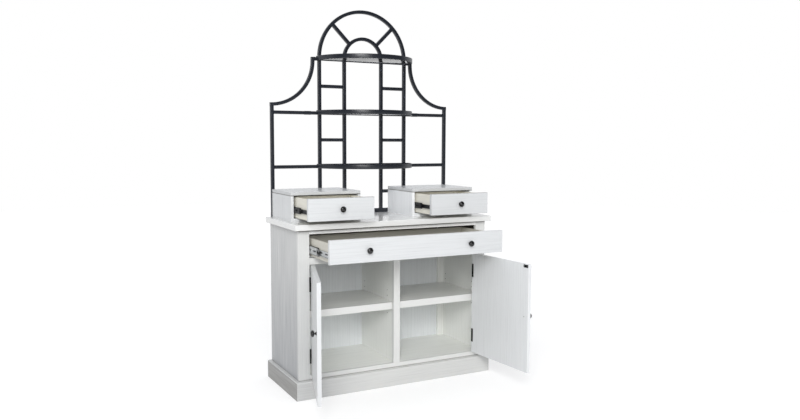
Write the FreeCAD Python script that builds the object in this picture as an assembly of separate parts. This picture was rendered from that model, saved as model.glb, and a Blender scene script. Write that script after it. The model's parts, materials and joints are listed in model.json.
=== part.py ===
# Bakers rack: a two-door sideboard with one wide drawer, two small drawer boxes standing on its
# top, and a hutch of square steel tube with a fan-light arch and three bow-fronted glass shelves.
# Millimetres, +Z up.  The front faces -Y.  x = 0 is the middle of the width, y = 0 the middle of
# the top's depth and z = 0 the floor.  The drawers and doors stand partly open.
import FreeCAD, Part
import math
import os

Vector = FreeCAD.Vector
ORIGIN = Vector(0, 0, 0)
SIDES = (-1, 1)                      # left and right

# ---------------------------------------------------------------- cabinet, driving dimensions
BODY_WIDTH = 1134.0                  # across the side panels
BODY_DEPTH = 441.5                   # front of the face frame to the back of the rear frame
TOP_THICKNESS = 30.6
TOP_SIDE_OVERHANG = 23.0
TOP_FRONT_OVERHANG = 30.9
TOP_REAR_OVERHANG = 8.0
TOP_EDGE_ROUND = 3.0

FRAME_THICKNESS = 20.0               # face frame and rear frame members, front to back
STILE_WIDTH = 62.0
CENTRE_STILE_WIDTH = 38.0
SIDE_THICKNESS = 20.0
PARTITION_THICKNESS = 19.0
FLOOR_THICKNESS = 20.0
BACK_THICKNESS = 6.0
REAR_RAIL_HEIGHT = 60.0
REBATE = 10.0                        # how far the back panel laps over the rear frame
STRETCHER_THICKNESS = 18.0
STRETCHER_DEPTH = 60.0

PLINTH_HEIGHT = 95.0
PLINTH_FRONT_THICKNESS = 27.3
PLINTH_SIDE_THICKNESS = 21.5
PLINTH_ROUND = 7.0
CARCASS_LIFT = 30.0                  # the carcass boards end this far above the floor
BLOCK_SIZE = 60.0                    # corner blocks inside the plinth
RUNNER_WIDTH = 40.0                  # support under the middle of the floor panel

BOTTOM_RAIL_REVEAL = 24.0            # face of the bottom rail that shows above the plinth
DOOR_OPENING_HEIGHT = 579.0
DRAWER_RAIL_HEIGHT = 35.0
DRAWER_OPENING_HEIGHT = 122.0
TOP_RAIL_HEIGHT = 22.4

# ---------------------------------------------------------------- shelves inside the cabinet
SHELF_THICKNESS = 38.0
SHELF_END_GAP = 2.0
SHELF_SETBACK = 3.3                  # shelf front edge behind the face frame
SHELF_REAR_GAP = 2.2
PIN_RADIUS = 2.5
PIN_SIDES = 12                       # flats round a pin and its hole
PIN_REACH = 9.0                      # how far a pin stands out of the panel
PIN_DEPTH = 8.0
PIN_ROW = 293.0                      # height of the pins above the floor panel
PIN_FRONT_INSET = 78.3               # front column of holes behind the face frame
PIN_REAR_INSET = 27.2                # rear column in front of the rear frame

# ---------------------------------------------------------------- doors and their hinges
DOOR_THICKNESS = 20.0
DOOR_GAP = 2.0
LEFT_DOOR_ANGLE = 108.0
RIGHT_DOOR_ANGLE = 94.0
FRONT_EDGE_ROUND = 1.5               # eased edges of doors and drawer fronts
HINGE_HEIGHT = 76.0
HINGE_INSET = 62.0                   # hinge end to door end
KNUCKLES = 3
KNUCKLE_RADIUS = 4.0
KNUCKLE_GAP = 0.3
LEAF_THICKNESS = 1.6
LEAF_WIDTH = 15.6
LEAF_RECESS = 0.8
HINGE_PIN_RADIUS = 2.2
HINGE_PIN_CLEARANCE = 0.05
FACE_CLEARANCE = 0.4                 # barrel to the face of the frame
STRIKE_WIDTH = 22.0
STRIKE_HEIGHT = 15.0
STRIKE_THICKNESS = 1.2
STRIKE_INSET = 3.0
CATCH_DEPTH = 15.0
CATCH_HEIGHT = 18.0
CATCH_GAP = 0.3
LEFT_DOOR_KNOB_HEIGHT = 456.0
RIGHT_DOOR_KNOB_HEIGHT = 417.0
DOOR_KNOB_INSET = 30.0               # from the free edge of the door

# ---------------------------------------------------------------- knobs
KNOB_RADIUS = 16.0
KNOB_LENGTH = 28.0
KNOB_FOOT_RADIUS = 9.0
KNOB_NECK_RADIUS = 4.5
KNOB_NECK_AT = 10.0                  # distance of the narrowest section from the foot
KNOB_RIM_AT = 20.0                   # distance of the widest section from the foot
KNOB_SIDES = 18                      # facets round a knob

# ---------------------------------------------------------------- drawers
DRAWER_GAP = 1.5
FRONT_THICKNESS = 20.0
DRAWER_BOARD = 12.0                  # sides and back of every drawer box
DRAWER_BOTTOM = 6.0
GROOVE_DEPTH = 6.0
GROOVE_HEIGHT = 10.0                 # underside of the bottom above the side's lower edge
WIDE_DRAWER_OPEN = 266.8
WIDE_BOX_LIFT = 8.0                  # drawer box above the opening's lower edge
WIDE_BOX_HEIGHT = 91.5
WIDE_KNOB_OFFSET = 295.0
DRAWER_REAR_SPACE = 26.5             # free space behind a closed drawer box
LEFT_DRAWER_OPEN = 209.5
RIGHT_DRAWER_OPEN = 189.0
SMALL_BOX_LIFT = 4.0
SMALL_BOX_HEIGHT = 106.0
SMALL_REAR_SPACE = 9.0

# ---------------------------------------------------------------- three-member slides
SLIDE_WIDTH = 12.7                   # cabinet side to drawer side
SLIDE_METAL = 1.2
SLIDE_TRACK = 2.6                    # height of a ball track between two members
SLIDE_SHADOW = 0.6                   # middle member's web behind the cabinet member's web
SLIDE_TIP_GAP = 0.3
SLIDE_LIP_SETBACK = 3.7              # cabinet member's lip short of the drawer side
SLIDE_NEST_GAP = 0.8                 # drawer member's lip short of the middle member's web
SLIDE_SETBACK = 2.0                  # slide's front end behind the drawer front
CAGE_CLEARANCE = 0.3
CAGE_LENGTH_SHARE = 0.6              # ball cage length as a share of its member
SLOT_LENGTH = 36.0                   # slots stamped through the moving members
SLOT_HEIGHT = 7.0
SLOT_INSET = 26.0                    # first slot behind the member's front end
SLOT_PITCH = 70.0
WIDE_SLIDE_HEIGHT = 45.0
WIDE_SLIDE_LENGTH = 350.0
WIDE_SLIDE_SLOTS = 2
WIDE_SLIDE_AT = 44.0                 # slide centre above the drawer opening's lower edge
SMALL_SLIDE_HEIGHT = 35.0
SMALL_SLIDE_LENGTH = 250.0
SMALL_SLIDE_SLOTS = 1
SMALL_SLIDE_AT = 46.0

# ---------------------------------------------------------------- drawer boxes on the top
BOX_WIDTH = 397.6
BOX_HEIGHT = 155.0
BOX_END_INSET = 32.2                 # box side to the end of the cabinet top
BOX_REACH = 305.4                    # box depth, from the hutch forwards
BOX_TOP_THICKNESS = 18.0
BOX_SIDE_THICKNESS = 15.0
BOX_BASE_THICKNESS = 18.0
BOX_BACK_THICKNESS = 12.0
BOX_HUTCH_GAP = 0.5

# ---------------------------------------------------------------- hutch
TUBE = 19.0                          # square steel tube
TUBE_WALL = 1.5
CAP_THICKNESS = 1.5                  # plates that close the ends of the braces
BASE_RAIL_HEIGHT = 24.0
OUTER_POST_FACE = 561.0              # outer faces of the posts, off the middle
ARCH_POST_FACE = 280.0
INNER_POST_FACE = 127.0
FIRST_LEVEL = 286.0                  # top of the lowest rail above the cabinet top
LEVEL_PITCH = 302.5
LEVELS = 3
BRACE_LINK = 21.0                    # short link from a brace to the arch post
SPOKE_ANGLES = (45.0, 135.0)

RIM_RADIUS = 294.0
RIM_PROJECTION = 271.2               # rim's front point in front of the posts
RIM_HEIGHT = 25.0
RIM_THICKNESS = 4.0
TAB_WIDTH = 20.0                     # tabs inside the rim that carry the glass
TAB_REACH = 10.0
TAB_THICKNESS = 3.0
TAB_RISE = 2.0
TAB_ANGLES = (-150.0, -120.0, -90.0, -60.0, -30.0)
GLASS_THICKNESS = 6.0
GLASS_CLEARANCE = 0.5

# ---------------------------------------------------------------- planes worked out from these
TOP_DEPTH = BODY_DEPTH + TOP_FRONT_OVERHANG + TOP_REAR_OVERHANG
TOP_LENGTH = BODY_WIDTH + 2 * TOP_SIDE_OVERHANG
TOP_FRONT = -TOP_DEPTH / 2
TOP_REAR = TOP_DEPTH / 2
BODY_FRONT = TOP_FRONT + TOP_FRONT_OVERHANG
BODY_REAR = TOP_REAR - TOP_REAR_OVERHANG
INNER_FRONT = BODY_FRONT + FRAME_THICKNESS
INNER_REAR = BODY_REAR - FRAME_THICKNESS
BODY_SIDE = BODY_WIDTH / 2
INNER_SIDE = BODY_SIDE - SIDE_THICKNESS
OPENING_SIDE = BODY_SIDE - STILE_WIDTH
CENTRE_SIDE = CENTRE_STILE_WIDTH / 2
PARTITION_SIDE = PARTITION_THICKNESS / 2

FLOOR_TOP = PLINTH_HEIGHT + BOTTOM_RAIL_REVEAL
DOOR_TOP = FLOOR_TOP + DOOR_OPENING_HEIGHT
DRAWER_LOW = DOOR_TOP + DRAWER_RAIL_HEIGHT
DRAWER_HIGH = DRAWER_LOW + DRAWER_OPENING_HEIGHT
TOP_UNDERSIDE = DRAWER_HIGH + TOP_RAIL_HEIGHT
COUNTER = TOP_UNDERSIDE + TOP_THICKNESS

HUTCH_REAR = TOP_REAR
HUTCH_FRONT = HUTCH_REAR - TUBE
HUTCH_MIDDLE = HUTCH_REAR - TUBE / 2
LEVEL_TOPS = [COUNTER + FIRST_LEVEL + n * LEVEL_PITCH for n in range(LEVELS)]
SPRING = LEVEL_TOPS[-1]              # where the arches spring from the posts
BRACE_END = OUTER_POST_FACE - CAP_THICKNESS
BOX_OUTER = TOP_LENGTH / 2 - BOX_END_INSET
BOX_INNER = BOX_OUTER - BOX_WIDTH
BOX_REAR = HUTCH_FRONT - BOX_HUTCH_GAP
BOX_FRONT = HUTCH_FRONT - BOX_HUTCH_GAP - BOX_REACH
BOX_TOP = COUNTER + BOX_HEIGHT


# ---------------------------------------------------------------- shapes and helpers
def block(x_low, x_high, y_low, y_high, z_low, z_high):
    """A plain board between two corners."""
    size = (x_high - x_low, y_high - y_low, z_high - z_low)
    return Part.makeBox(*size, Vector(x_low, y_low, z_low))


def side_block(side, near, far, y_low, y_high, z_low, z_high):
    """A board on one side, from near to far off the middle."""
    x_low, x_high = sorted((side * near, side * far))
    return block(x_low, x_high, y_low, y_high, z_low, z_high)


def cylinder(start, direction, radius, length):
    return Part.makeCylinder(radius, length, start, direction)


def flat(points):
    """The flat face inside a closed outline of points."""
    return Part.Face(Part.makePolygon(points + points[:1]))


def prism(points, along):
    """A closed outline of points, pushed along a vector."""
    return flat(points).extrude(along)


def ring(centre, radius, sides, first, second):
    """Evenly spaced points round a centre, in the plane of two unit vectors."""
    points = []
    for n in range(sides):
        turn = 2 * math.pi * n / sides
        spoke = first * math.cos(turn) + second * math.sin(turn)
        points.append(centre + spoke * radius)
    return points


def faceted(rings, tip):
    """A solid with flat facets from ring to ring, ending in a tip."""
    faces = [flat(rings[0])]
    for low, high in zip(rings, rings[1:]):
        faces += [flat([low[n - 1], low[n], high[n], high[n - 1]]) for n in range(len(low))]
    last = rings[-1]
    faces += [flat([last[n - 1], last[n], tip]) for n in range(len(last))]
    return Part.makeSolid(Part.makeShell(faces))


def eased(solid, radius, wanted):
    """Round the edges whose two ends both satisfy the test."""
    edges = [e for e in solid.Edges if all(wanted(v.Point) for v in e.Vertexes)]
    return solid.makeFillet(radius, edges)


def near(value, target):
    return abs(value - target) < 0.001


def mirrored(shape):
    """The same shape on the other side of the middle."""
    return shape.mirror(ORIGIN, Vector(1, 0, 0))


def save(node, *solids):
    """Write one node as a STEP file, one solid or a group of separate ones."""
    shape = solids[0] if len(solids) == 1 else Part.makeCompound(list(solids))
    shape.exportStep(os.path.join("parts", node + ".step"))


# ---------------------------------------------------------------- cabinet carcass
def tabletop():
    """Overhanging slab with its upper and lower edges eased."""
    slab = block(-TOP_LENGTH / 2, TOP_LENGTH / 2, TOP_FRONT, TOP_REAR, TOP_UNDERSIDE, COUNTER)
    slab = eased(slab, TOP_EDGE_ROUND, lambda p: near(p.z, COUNTER))
    return eased(slab, TOP_EDGE_ROUND, lambda p: near(p.z, TOP_UNDERSIDE))


def pin_columns():
    """Depths of the two columns of shelf-pin holes."""
    return (INNER_FRONT + PIN_FRONT_INSET, INNER_REAR - PIN_REAR_INSET)


def pin_row(start_x, end_x):
    """Two round bars along X, one in each column, at the height of the shelf pins."""
    bars = []
    for depth in pin_columns():
        start = Vector(start_x, depth, FLOOR_TOP + PIN_ROW)
        outline = ring(start, PIN_RADIUS, PIN_SIDES, Vector(0, 1, 0), Vector(0, 0, 1))
        bars.append(prism(outline, Vector(end_x - start_x, 0, 0)))
    return bars


def side_panel(side):
    panel = side_block(side, INNER_SIDE, BODY_SIDE, INNER_FRONT, INNER_REAR,
                       CARCASS_LIFT, TOP_UNDERSIDE)
    return panel.cut(pin_row(side * INNER_SIDE, side * (INNER_SIDE + PIN_DEPTH)))


def partition():
    """Upright between the two cupboards, drilled right through for the shelf pins."""
    panel = block(-PARTITION_SIDE, PARTITION_SIDE, INNER_FRONT, BODY_REAR - BACK_THICKNESS,
                  FLOOR_TOP, DOOR_TOP)
    return panel.cut(pin_row(-PARTITION_SIDE, PARTITION_SIDE))


def front_stile(side):
    """Face-frame stile, let in for the two frame leaves of the hinges."""
    stile = side_block(side, OPENING_SIDE, BODY_SIDE, BODY_FRONT, INNER_FRONT,
                       CARCASS_LIFT, TOP_UNDERSIDE)
    for low in hinge_heights():
        recess = side_block(side, OPENING_SIDE - 1, OPENING_SIDE + LEAF_RECESS,
                            BODY_FRONT - 1, BODY_FRONT + LEAF_WIDTH, low, low + HINGE_HEIGHT)
        stile = stile.cut(recess)
    return stile


def rear_stile(side):
    """Rear-frame stile with a rebate for the back panel."""
    stile = side_block(side, OPENING_SIDE, BODY_SIDE, INNER_REAR, BODY_REAR,
                       CARCASS_LIFT, TOP_UNDERSIDE)
    rebate = side_block(side, OPENING_SIDE - 1, OPENING_SIDE + REBATE,
                        BODY_REAR - BACK_THICKNESS, BODY_REAR + 1, back_low(), back_high())
    return stile.cut(rebate)


def back_low():
    return FLOOR_TOP - REBATE


def back_high():
    return TOP_UNDERSIDE - REAR_RAIL_HEIGHT + REBATE


def rear_rails():
    """Upper and lower rails of the rear frame, rebated for the back panel."""
    lower = block(-OPENING_SIDE, OPENING_SIDE, INNER_REAR, BODY_REAR, CARCASS_LIFT, FLOOR_TOP)
    upper = block(-OPENING_SIDE, OPENING_SIDE, INNER_REAR, BODY_REAR,
                  TOP_UNDERSIDE - REAR_RAIL_HEIGHT, TOP_UNDERSIDE)
    rebate = block(-OPENING_SIDE, OPENING_SIDE, BODY_REAR - BACK_THICKNESS, BODY_REAR + 1,
                   back_low(), back_high())
    return [lower.cut(rebate), upper.cut(rebate)]


def back_panel():
    reach = OPENING_SIDE + REBATE
    return block(-reach, reach, BODY_REAR - BACK_THICKNESS, BODY_REAR, back_low(), back_high())


def centre_stile():
    return block(-CENTRE_SIDE, CENTRE_SIDE, BODY_FRONT, INNER_FRONT, FLOOR_TOP, DOOR_TOP)


def front_rail(low, high):
    return block(-OPENING_SIDE, OPENING_SIDE, BODY_FRONT, INNER_FRONT, low, high)


def stretchers():
    """Flat rails over the cupboards that tie the drawer rail, partition and rear frame."""
    front = block(-INNER_SIDE, INNER_SIDE, INNER_FRONT, INNER_FRONT + STRETCHER_DEPTH,
                  DOOR_TOP, DOOR_TOP + STRETCHER_THICKNESS)
    rear = block(-INNER_SIDE, INNER_SIDE, INNER_REAR - STRETCHER_DEPTH, INNER_REAR,
                 DOOR_TOP, DOOR_TOP + STRETCHER_THICKNESS)
    return [front, rear]


def floor_panel():
    return block(-INNER_SIDE, INNER_SIDE, INNER_FRONT, INNER_REAR,
                 FLOOR_TOP - FLOOR_THICKNESS, FLOOR_TOP)


def plinth_boards():
    """Skirt boards with a rounded top edge, mitred at the front corners, and a plain back."""
    outer_side = BODY_SIDE + PLINTH_SIDE_THICKNESS
    outer_front = BODY_FRONT - PLINTH_FRONT_THICKNESS
    up = Vector(0, 0, PLINTH_HEIGHT)
    front = block(-outer_side, outer_side, outer_front, BODY_FRONT, 0, PLINTH_HEIGHT)
    front = eased(front, PLINTH_ROUND, lambda p: near(p.z, PLINTH_HEIGHT) and near(p.y, outer_front))
    mitre = [(-outer_side, outer_front), (outer_side, outer_front),
             (BODY_SIDE, BODY_FRONT), (-BODY_SIDE, BODY_FRONT)]
    end = block(BODY_SIDE, outer_side, outer_front, TOP_REAR, 0, PLINTH_HEIGHT)
    end = eased(end, PLINTH_ROUND, lambda p: near(p.z, PLINTH_HEIGHT) and near(p.x, outer_side))
    outline = [(outer_side, outer_front), (outer_side, TOP_REAR),
               (BODY_SIDE, TOP_REAR), (BODY_SIDE, BODY_FRONT)]
    back = block(-BODY_SIDE, BODY_SIDE, BODY_REAR, TOP_REAR, 0, PLINTH_HEIGHT)
    front = front.common(prism([Vector(x, y, 0) for x, y in mitre], up)).Solids[0]
    end = end.common(prism([Vector(x, y, 0) for x, y in outline], up)).Solids[0]
    return [front, end, mirrored(end), back]


def plinth_blocks():
    """Corner blocks and a middle runner that carry the floor panel."""
    high = FLOOR_TOP - FLOOR_THICKNESS
    solids = [block(-RUNNER_WIDTH / 2, RUNNER_WIDTH / 2, INNER_FRONT, INNER_REAR, 0, high)]
    for side in SIDES:
        for low in (INNER_FRONT, INNER_REAR - BLOCK_SIZE):
            solids.append(side_block(side, INNER_SIDE - BLOCK_SIZE, INNER_SIDE,
                                     low, low + BLOCK_SIZE, 0, high))
    return solids


def slide_cleats():
    """Packing between the side panels and the slides of the wide drawer."""
    middle = DRAWER_LOW + WIDE_SLIDE_AT
    half = WIDE_SLIDE_HEIGHT / 2 + SLIDE_METAL
    return [side_block(side, OPENING_SIDE, INNER_SIDE, INNER_FRONT, INNER_REAR,
                       middle - half, middle + half) for side in SIDES]


def cabinet_shelf(side):
    base = FLOOR_TOP + PIN_ROW + PIN_RADIUS
    return side_block(side, PARTITION_SIDE + SHELF_END_GAP, INNER_SIDE - SHELF_END_GAP,
                      INNER_FRONT + SHELF_SETBACK, INNER_REAR - SHELF_REAR_GAP,
                      base, base + SHELF_THICKNESS)


def shelf_pins():
    """Pins in each side panel, and through pins in the partition that carry both shelves."""
    through = PARTITION_SIDE + PIN_REACH
    pins = pin_row(-through, through)
    for side in SIDES:
        pins += pin_row(side * (INNER_SIDE + PIN_DEPTH), side * (INNER_SIDE - PIN_REACH))
    return pins


def door_catches():
    """Magnetic catch bodies under the front stretcher, facing the strike plates."""
    near_edge = CENTRE_SIDE + DOOR_GAP + STRIKE_INSET
    front = INNER_FRONT + STRIKE_THICKNESS + CATCH_GAP
    return [side_block(side, near_edge, near_edge + STRIKE_WIDTH, front, front + CATCH_DEPTH,
                       DOOR_TOP - CATCH_HEIGHT, DOOR_TOP) for side in SIDES]


# ---------------------------------------------------------------- knobs
def quarter_round(start, end, angles):
    """Radius and distance of points on a quarter ellipse that leaves start straight outwards."""
    points = []
    for angle in angles:
        turn = math.radians(angle)
        points.append((end[0] + (start[0] - end[0]) * math.cos(turn),
                       start[1] + (end[1] - start[1]) * math.sin(turn)))
    return points


def knob(foot):
    """A turned knob on the face at foot, pointing to -Y: flared foot, cove and domed head."""
    neck = (KNOB_NECK_RADIUS, KNOB_NECK_AT)
    rim = (KNOB_RADIUS, KNOB_RIM_AT)
    tip = (0, KNOB_LENGTH)
    profile = [(KNOB_FOOT_RADIUS, 0)]
    profile += quarter_round(neck, rim, (0, 45, 90))
    profile += quarter_round(rim, tip, (30, 60))
    rings = [ring(foot + Vector(0, -out, 0), radius, KNOB_SIDES, Vector(1, 0, 0), Vector(0, 0, 1))
             for radius, out in profile]
    return faceted(rings, foot + Vector(0, -KNOB_LENGTH, 0))


# ---------------------------------------------------------------- doors and hinges
HINGE_X = OPENING_SIDE - DOOR_GAP / 2
HINGE_Y = BODY_FRONT - KNUCKLE_RADIUS - FACE_CLEARANCE
DOOR_LOW = FLOOR_TOP + DOOR_GAP
DOOR_HIGH = DOOR_TOP - DOOR_GAP
DOOR_NEAR = CENTRE_SIDE + DOOR_GAP
DOOR_FAR = OPENING_SIDE - DOOR_GAP


def hinge_heights():
    """Lower ends of the two hinges."""
    return (DOOR_LOW + HINGE_INSET, DOOR_HIGH - HINGE_INSET - HINGE_HEIGHT)


def knuckle_bands(low, first):
    """Every second knuckle of a hinge, from the first."""
    pitch = HINGE_HEIGHT / KNUCKLES
    return [(low + n * pitch, pitch - KNUCKLE_GAP) for n in range(first, KNUCKLES, 2)]


def hinge_axis(z):
    return Vector(HINGE_X, HINGE_Y, z)


def hinge_leaf(low, first, offset):
    """A leaf of the right-hand hinge and its knuckles; offset is -1 on the door, 1 on the frame."""
    outer = HINGE_X + offset * (DOOR_GAP / 2 + LEAF_RECESS)
    x_low, x_high = sorted((outer, outer - offset * LEAF_THICKNESS))
    leaf = block(x_low, x_high, BODY_FRONT, BODY_FRONT + LEAF_WIDTH, low, low + HINGE_HEIGHT)
    for start, length in knuckle_bands(low, first):
        neck = block(x_low, x_high, HINGE_Y, BODY_FRONT, start, start + length)
        barrel = cylinder(hinge_axis(start), Vector(0, 0, 1), KNUCKLE_RADIUS, length)
        leaf = leaf.fuse([neck, barrel])
    return leaf.removeSplitter()


def frame_leaf(low):
    """The fixed leaf, with the hinge pin riveted into its knuckles."""
    pin = cylinder(hinge_axis(low), Vector(0, 0, 1), HINGE_PIN_RADIUS, HINGE_HEIGHT - KNUCKLE_GAP)
    return hinge_leaf(low, 0, 1).fuse(pin).removeSplitter()


def door_leaf(low):
    """The moving leaf, bored to turn on the pin."""
    bore = cylinder(hinge_axis(low), Vector(0, 0, 1),
                    HINGE_PIN_RADIUS + HINGE_PIN_CLEARANCE, HINGE_HEIGHT)
    return hinge_leaf(low, 1, -1).cut(bore)


def door_panel():
    """Right-hand door, closed: a slab let in for the hinge leaves."""
    panel = block(DOOR_NEAR, DOOR_FAR, BODY_FRONT, BODY_FRONT + DOOR_THICKNESS, DOOR_LOW, DOOR_HIGH)
    panel = eased(panel, FRONT_EDGE_ROUND, lambda p: near(p.y, BODY_FRONT))
    for low in hinge_heights():
        recess = block(DOOR_FAR - LEAF_RECESS, DOOR_FAR + 1, BODY_FRONT - 1,
                       BODY_FRONT + LEAF_WIDTH, low, low + HINGE_HEIGHT)
        panel = panel.cut(recess)
    return panel


def strike_plate():
    near_edge = DOOR_NEAR + STRIKE_INSET
    inner = BODY_FRONT + DOOR_THICKNESS
    return block(near_edge, near_edge + STRIKE_WIDTH, inner, inner + STRIKE_THICKNESS,
                 DOOR_HIGH - STRIKE_INSET - STRIKE_HEIGHT, DOOR_HIGH - STRIKE_INSET)


def opened_door(side, solids, angle):
    """Swing the right-hand door's solids open, and mirror them for the left-hand door."""
    for solid in solids:
        solid.rotate(Vector(HINGE_X, HINGE_Y, 0), Vector(0, 0, 1), angle)
    return solids if side > 0 else [mirrored(s) for s in solids]


def save_door(name, side, angle, knob_height):
    """A door's panel, and its black fittings: two hinge leaves, knob and strike plate."""
    foot = Vector(DOOR_NEAR + DOOR_KNOB_INSET, BODY_FRONT, knob_height)
    panel = opened_door(side, [door_panel()], angle)
    leaves = [door_leaf(low) for low in hinge_heights()]
    fittings = opened_door(side, leaves + [knob(foot), strike_plate()], angle)
    save(name + "_door_panel", *panel)
    save(name + "_door_fittings", *fittings)


# ---------------------------------------------------------------- three-member slides
def channel(web, far, y_low, length, middle, half):
    """A C-shaped member: its web lies at web, and its two lips reach to far."""
    towards = math.copysign(SLIDE_METAL, far - web)
    x_low, x_high = sorted((web, far))
    blank = block(x_low, x_high, y_low, y_low + length, middle - half, middle + half)
    x_low, x_high = sorted((web + towards, far + towards))
    hollow = block(x_low, x_high, y_low - 1, y_low + length + 1,
                   middle - half + SLIDE_METAL, middle + half - SLIDE_METAL)
    return blank.cut(hollow)


def slotted(member, y_low, middle, count):
    """Stamp a row of slots through a member's web, starting near its front end."""
    span = member.BoundBox
    for n in range(count):
        front = y_low + SLOT_INSET + n * SLOT_PITCH
        member = member.cut(block(span.XMin, span.XMax, front, front + SLOT_LENGTH,
                                  middle - SLOT_HEIGHT / 2, middle + SLOT_HEIGHT / 2))
    return member


def slide_members(cabinet_face, direction, y_low, length, middle, height, slots):
    """Cabinet, middle and drawer members of a closed slide, and the middle member's ball cages.

    The slide fills the space from cabinet_face in the given direction to the drawer's side.
    """
    def x(distance):
        return cabinet_face + direction * distance

    outer_half = height / 2
    middle_half = outer_half - SLIDE_METAL - SLIDE_TRACK
    inner_half = middle_half - SLIDE_METAL - SLIDE_TRACK
    web_end = 2 * SLIDE_METAL + SLIDE_SHADOW
    outer = channel(x(0), x(SLIDE_WIDTH - SLIDE_LIP_SETBACK), y_low, length, middle, outer_half)
    centre = channel(x(SLIDE_METAL + SLIDE_SHADOW), x(SLIDE_WIDTH - SLIDE_METAL - SLIDE_TIP_GAP),
                     y_low, length, middle, middle_half)
    inner = channel(x(SLIDE_WIDTH), x(web_end + SLIDE_NEST_GAP), y_low, length, middle, inner_half)
    cages = []
    cage_length = length * CAGE_LENGTH_SHARE
    strip_ends = sorted((x(web_end + SLIDE_NEST_GAP), x(SLIDE_WIDTH - SLIDE_LIP_SETBACK)))
    for sign in SIDES:
        for seat, reach in ((middle_half, SLIDE_TRACK - CAGE_CLEARANCE),
                            (middle_half - SLIDE_METAL, CAGE_CLEARANCE - SLIDE_TRACK)):
            z_ends = sorted((middle + sign * seat, middle + sign * (seat + reach)))
            cages.append(block(*strip_ends, y_low, y_low + cage_length, *z_ends))
    return outer, slotted(centre, y_low, middle, slots), slotted(inner, y_low, middle, slots), cages


def slide_pair(faces, y_low, length, middle, height, slots, opened):
    """Fixed, middle and drawer members and ball cages of two slides, drawn out.

    The middle members and their cages move half as far as the drawer.
    """
    fixed, centres, drawers, cages = [], [], [], []
    for face, direction in faces:
        outer, centre, inner, strips = slide_members(face, direction, y_low, length, middle,
                                                     height, slots)
        fixed.append(outer)
        centres.append(centre)
        drawers.append(inner)
        cages.extend(strips)
    for solid in centres + cages:
        solid.translate(Vector(0, -opened / 2, 0))
    for solid in drawers:
        solid.translate(Vector(0, -opened, 0))
    return fixed, centres, drawers, cages


# ---------------------------------------------------------------- drawers
def drawer_box(x_low, x_high, y_low, y_high, z_low, z_high):
    """Four boards and a grooved-in bottom: front board, two sides, back and bottom."""
    groove = block(x_low + DRAWER_BOARD - GROOVE_DEPTH, x_high - DRAWER_BOARD + GROOVE_DEPTH,
                   y_low + DRAWER_BOARD - GROOVE_DEPTH, y_high - DRAWER_BOARD + GROOVE_DEPTH,
                   z_low + GROOVE_HEIGHT, z_low + GROOVE_HEIGHT + DRAWER_BOTTOM)
    boards = [block(x_low, x_low + DRAWER_BOARD, y_low, y_high, z_low, z_high),
              block(x_high - DRAWER_BOARD, x_high, y_low, y_high, z_low, z_high),
              block(x_low + DRAWER_BOARD, x_high - DRAWER_BOARD, y_low, y_low + DRAWER_BOARD,
                    z_low, z_high),
              block(x_low + DRAWER_BOARD, x_high - DRAWER_BOARD, y_high - DRAWER_BOARD, y_high,
                    z_low, z_high)]
    return [b.cut(groove) for b in boards], groove


def save_drawer(name, opening, front_face, box_ends, box_rear, feet, opened):
    """A drawer's front board, box and bottom, moved open; returns its knobs."""
    x_low, x_high, z_low, z_high = opening
    front = block(x_low + DRAWER_GAP, x_high - DRAWER_GAP, front_face, front_face + FRONT_THICKNESS,
                  z_low + DRAWER_GAP, z_high - DRAWER_GAP)
    front = eased(front, FRONT_EDGE_ROUND, lambda p: near(p.y, front_face))
    box_x_low, box_x_high, box_z_low, box_z_high = box_ends
    boards, bottom = drawer_box(box_x_low, box_x_high, front_face + FRONT_THICKNESS, box_rear,
                                box_z_low, box_z_high)
    knobs = [knob(foot) for foot in feet]
    for solid in [front, bottom] + boards + knobs:
        solid.translate(Vector(0, -opened, 0))
    save(name + "_drawer_front", front)
    save(name + "_drawer_box", *boards, bottom)
    return knobs


def save_wide_drawer():
    opening = (-OPENING_SIDE, OPENING_SIDE, DRAWER_LOW, DRAWER_HIGH)
    half = OPENING_SIDE - SLIDE_WIDTH
    box_low = DRAWER_LOW + WIDE_BOX_LIFT
    box_ends = (-half, half, box_low, box_low + WIDE_BOX_HEIGHT)
    middle = (DRAWER_LOW + DRAWER_HIGH) / 2
    feet = [Vector(side * WIDE_KNOB_OFFSET, BODY_FRONT, middle) for side in SIDES]
    knobs = save_drawer("wide", opening, BODY_FRONT, box_ends, INNER_REAR - DRAWER_REAR_SPACE,
                        feet, WIDE_DRAWER_OPEN)
    save("wide_drawer_knobs", *knobs)
    faces = [(-OPENING_SIDE, 1), (OPENING_SIDE, -1)]
    start = BODY_FRONT + FRONT_THICKNESS + SLIDE_SETBACK
    fixed, centres, drawers, cages = slide_pair(faces, start, WIDE_SLIDE_LENGTH,
                                                DRAWER_LOW + WIDE_SLIDE_AT, WIDE_SLIDE_HEIGHT,
                                                WIDE_SLIDE_SLOTS, WIDE_DRAWER_OPEN)
    save("wide_slide_cabinet_members", *fixed)
    save("wide_slide_middle_members", *centres)
    save("wide_slide_ball_cages", *cages)
    save("wide_slide_drawer_members", *drawers)


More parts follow.
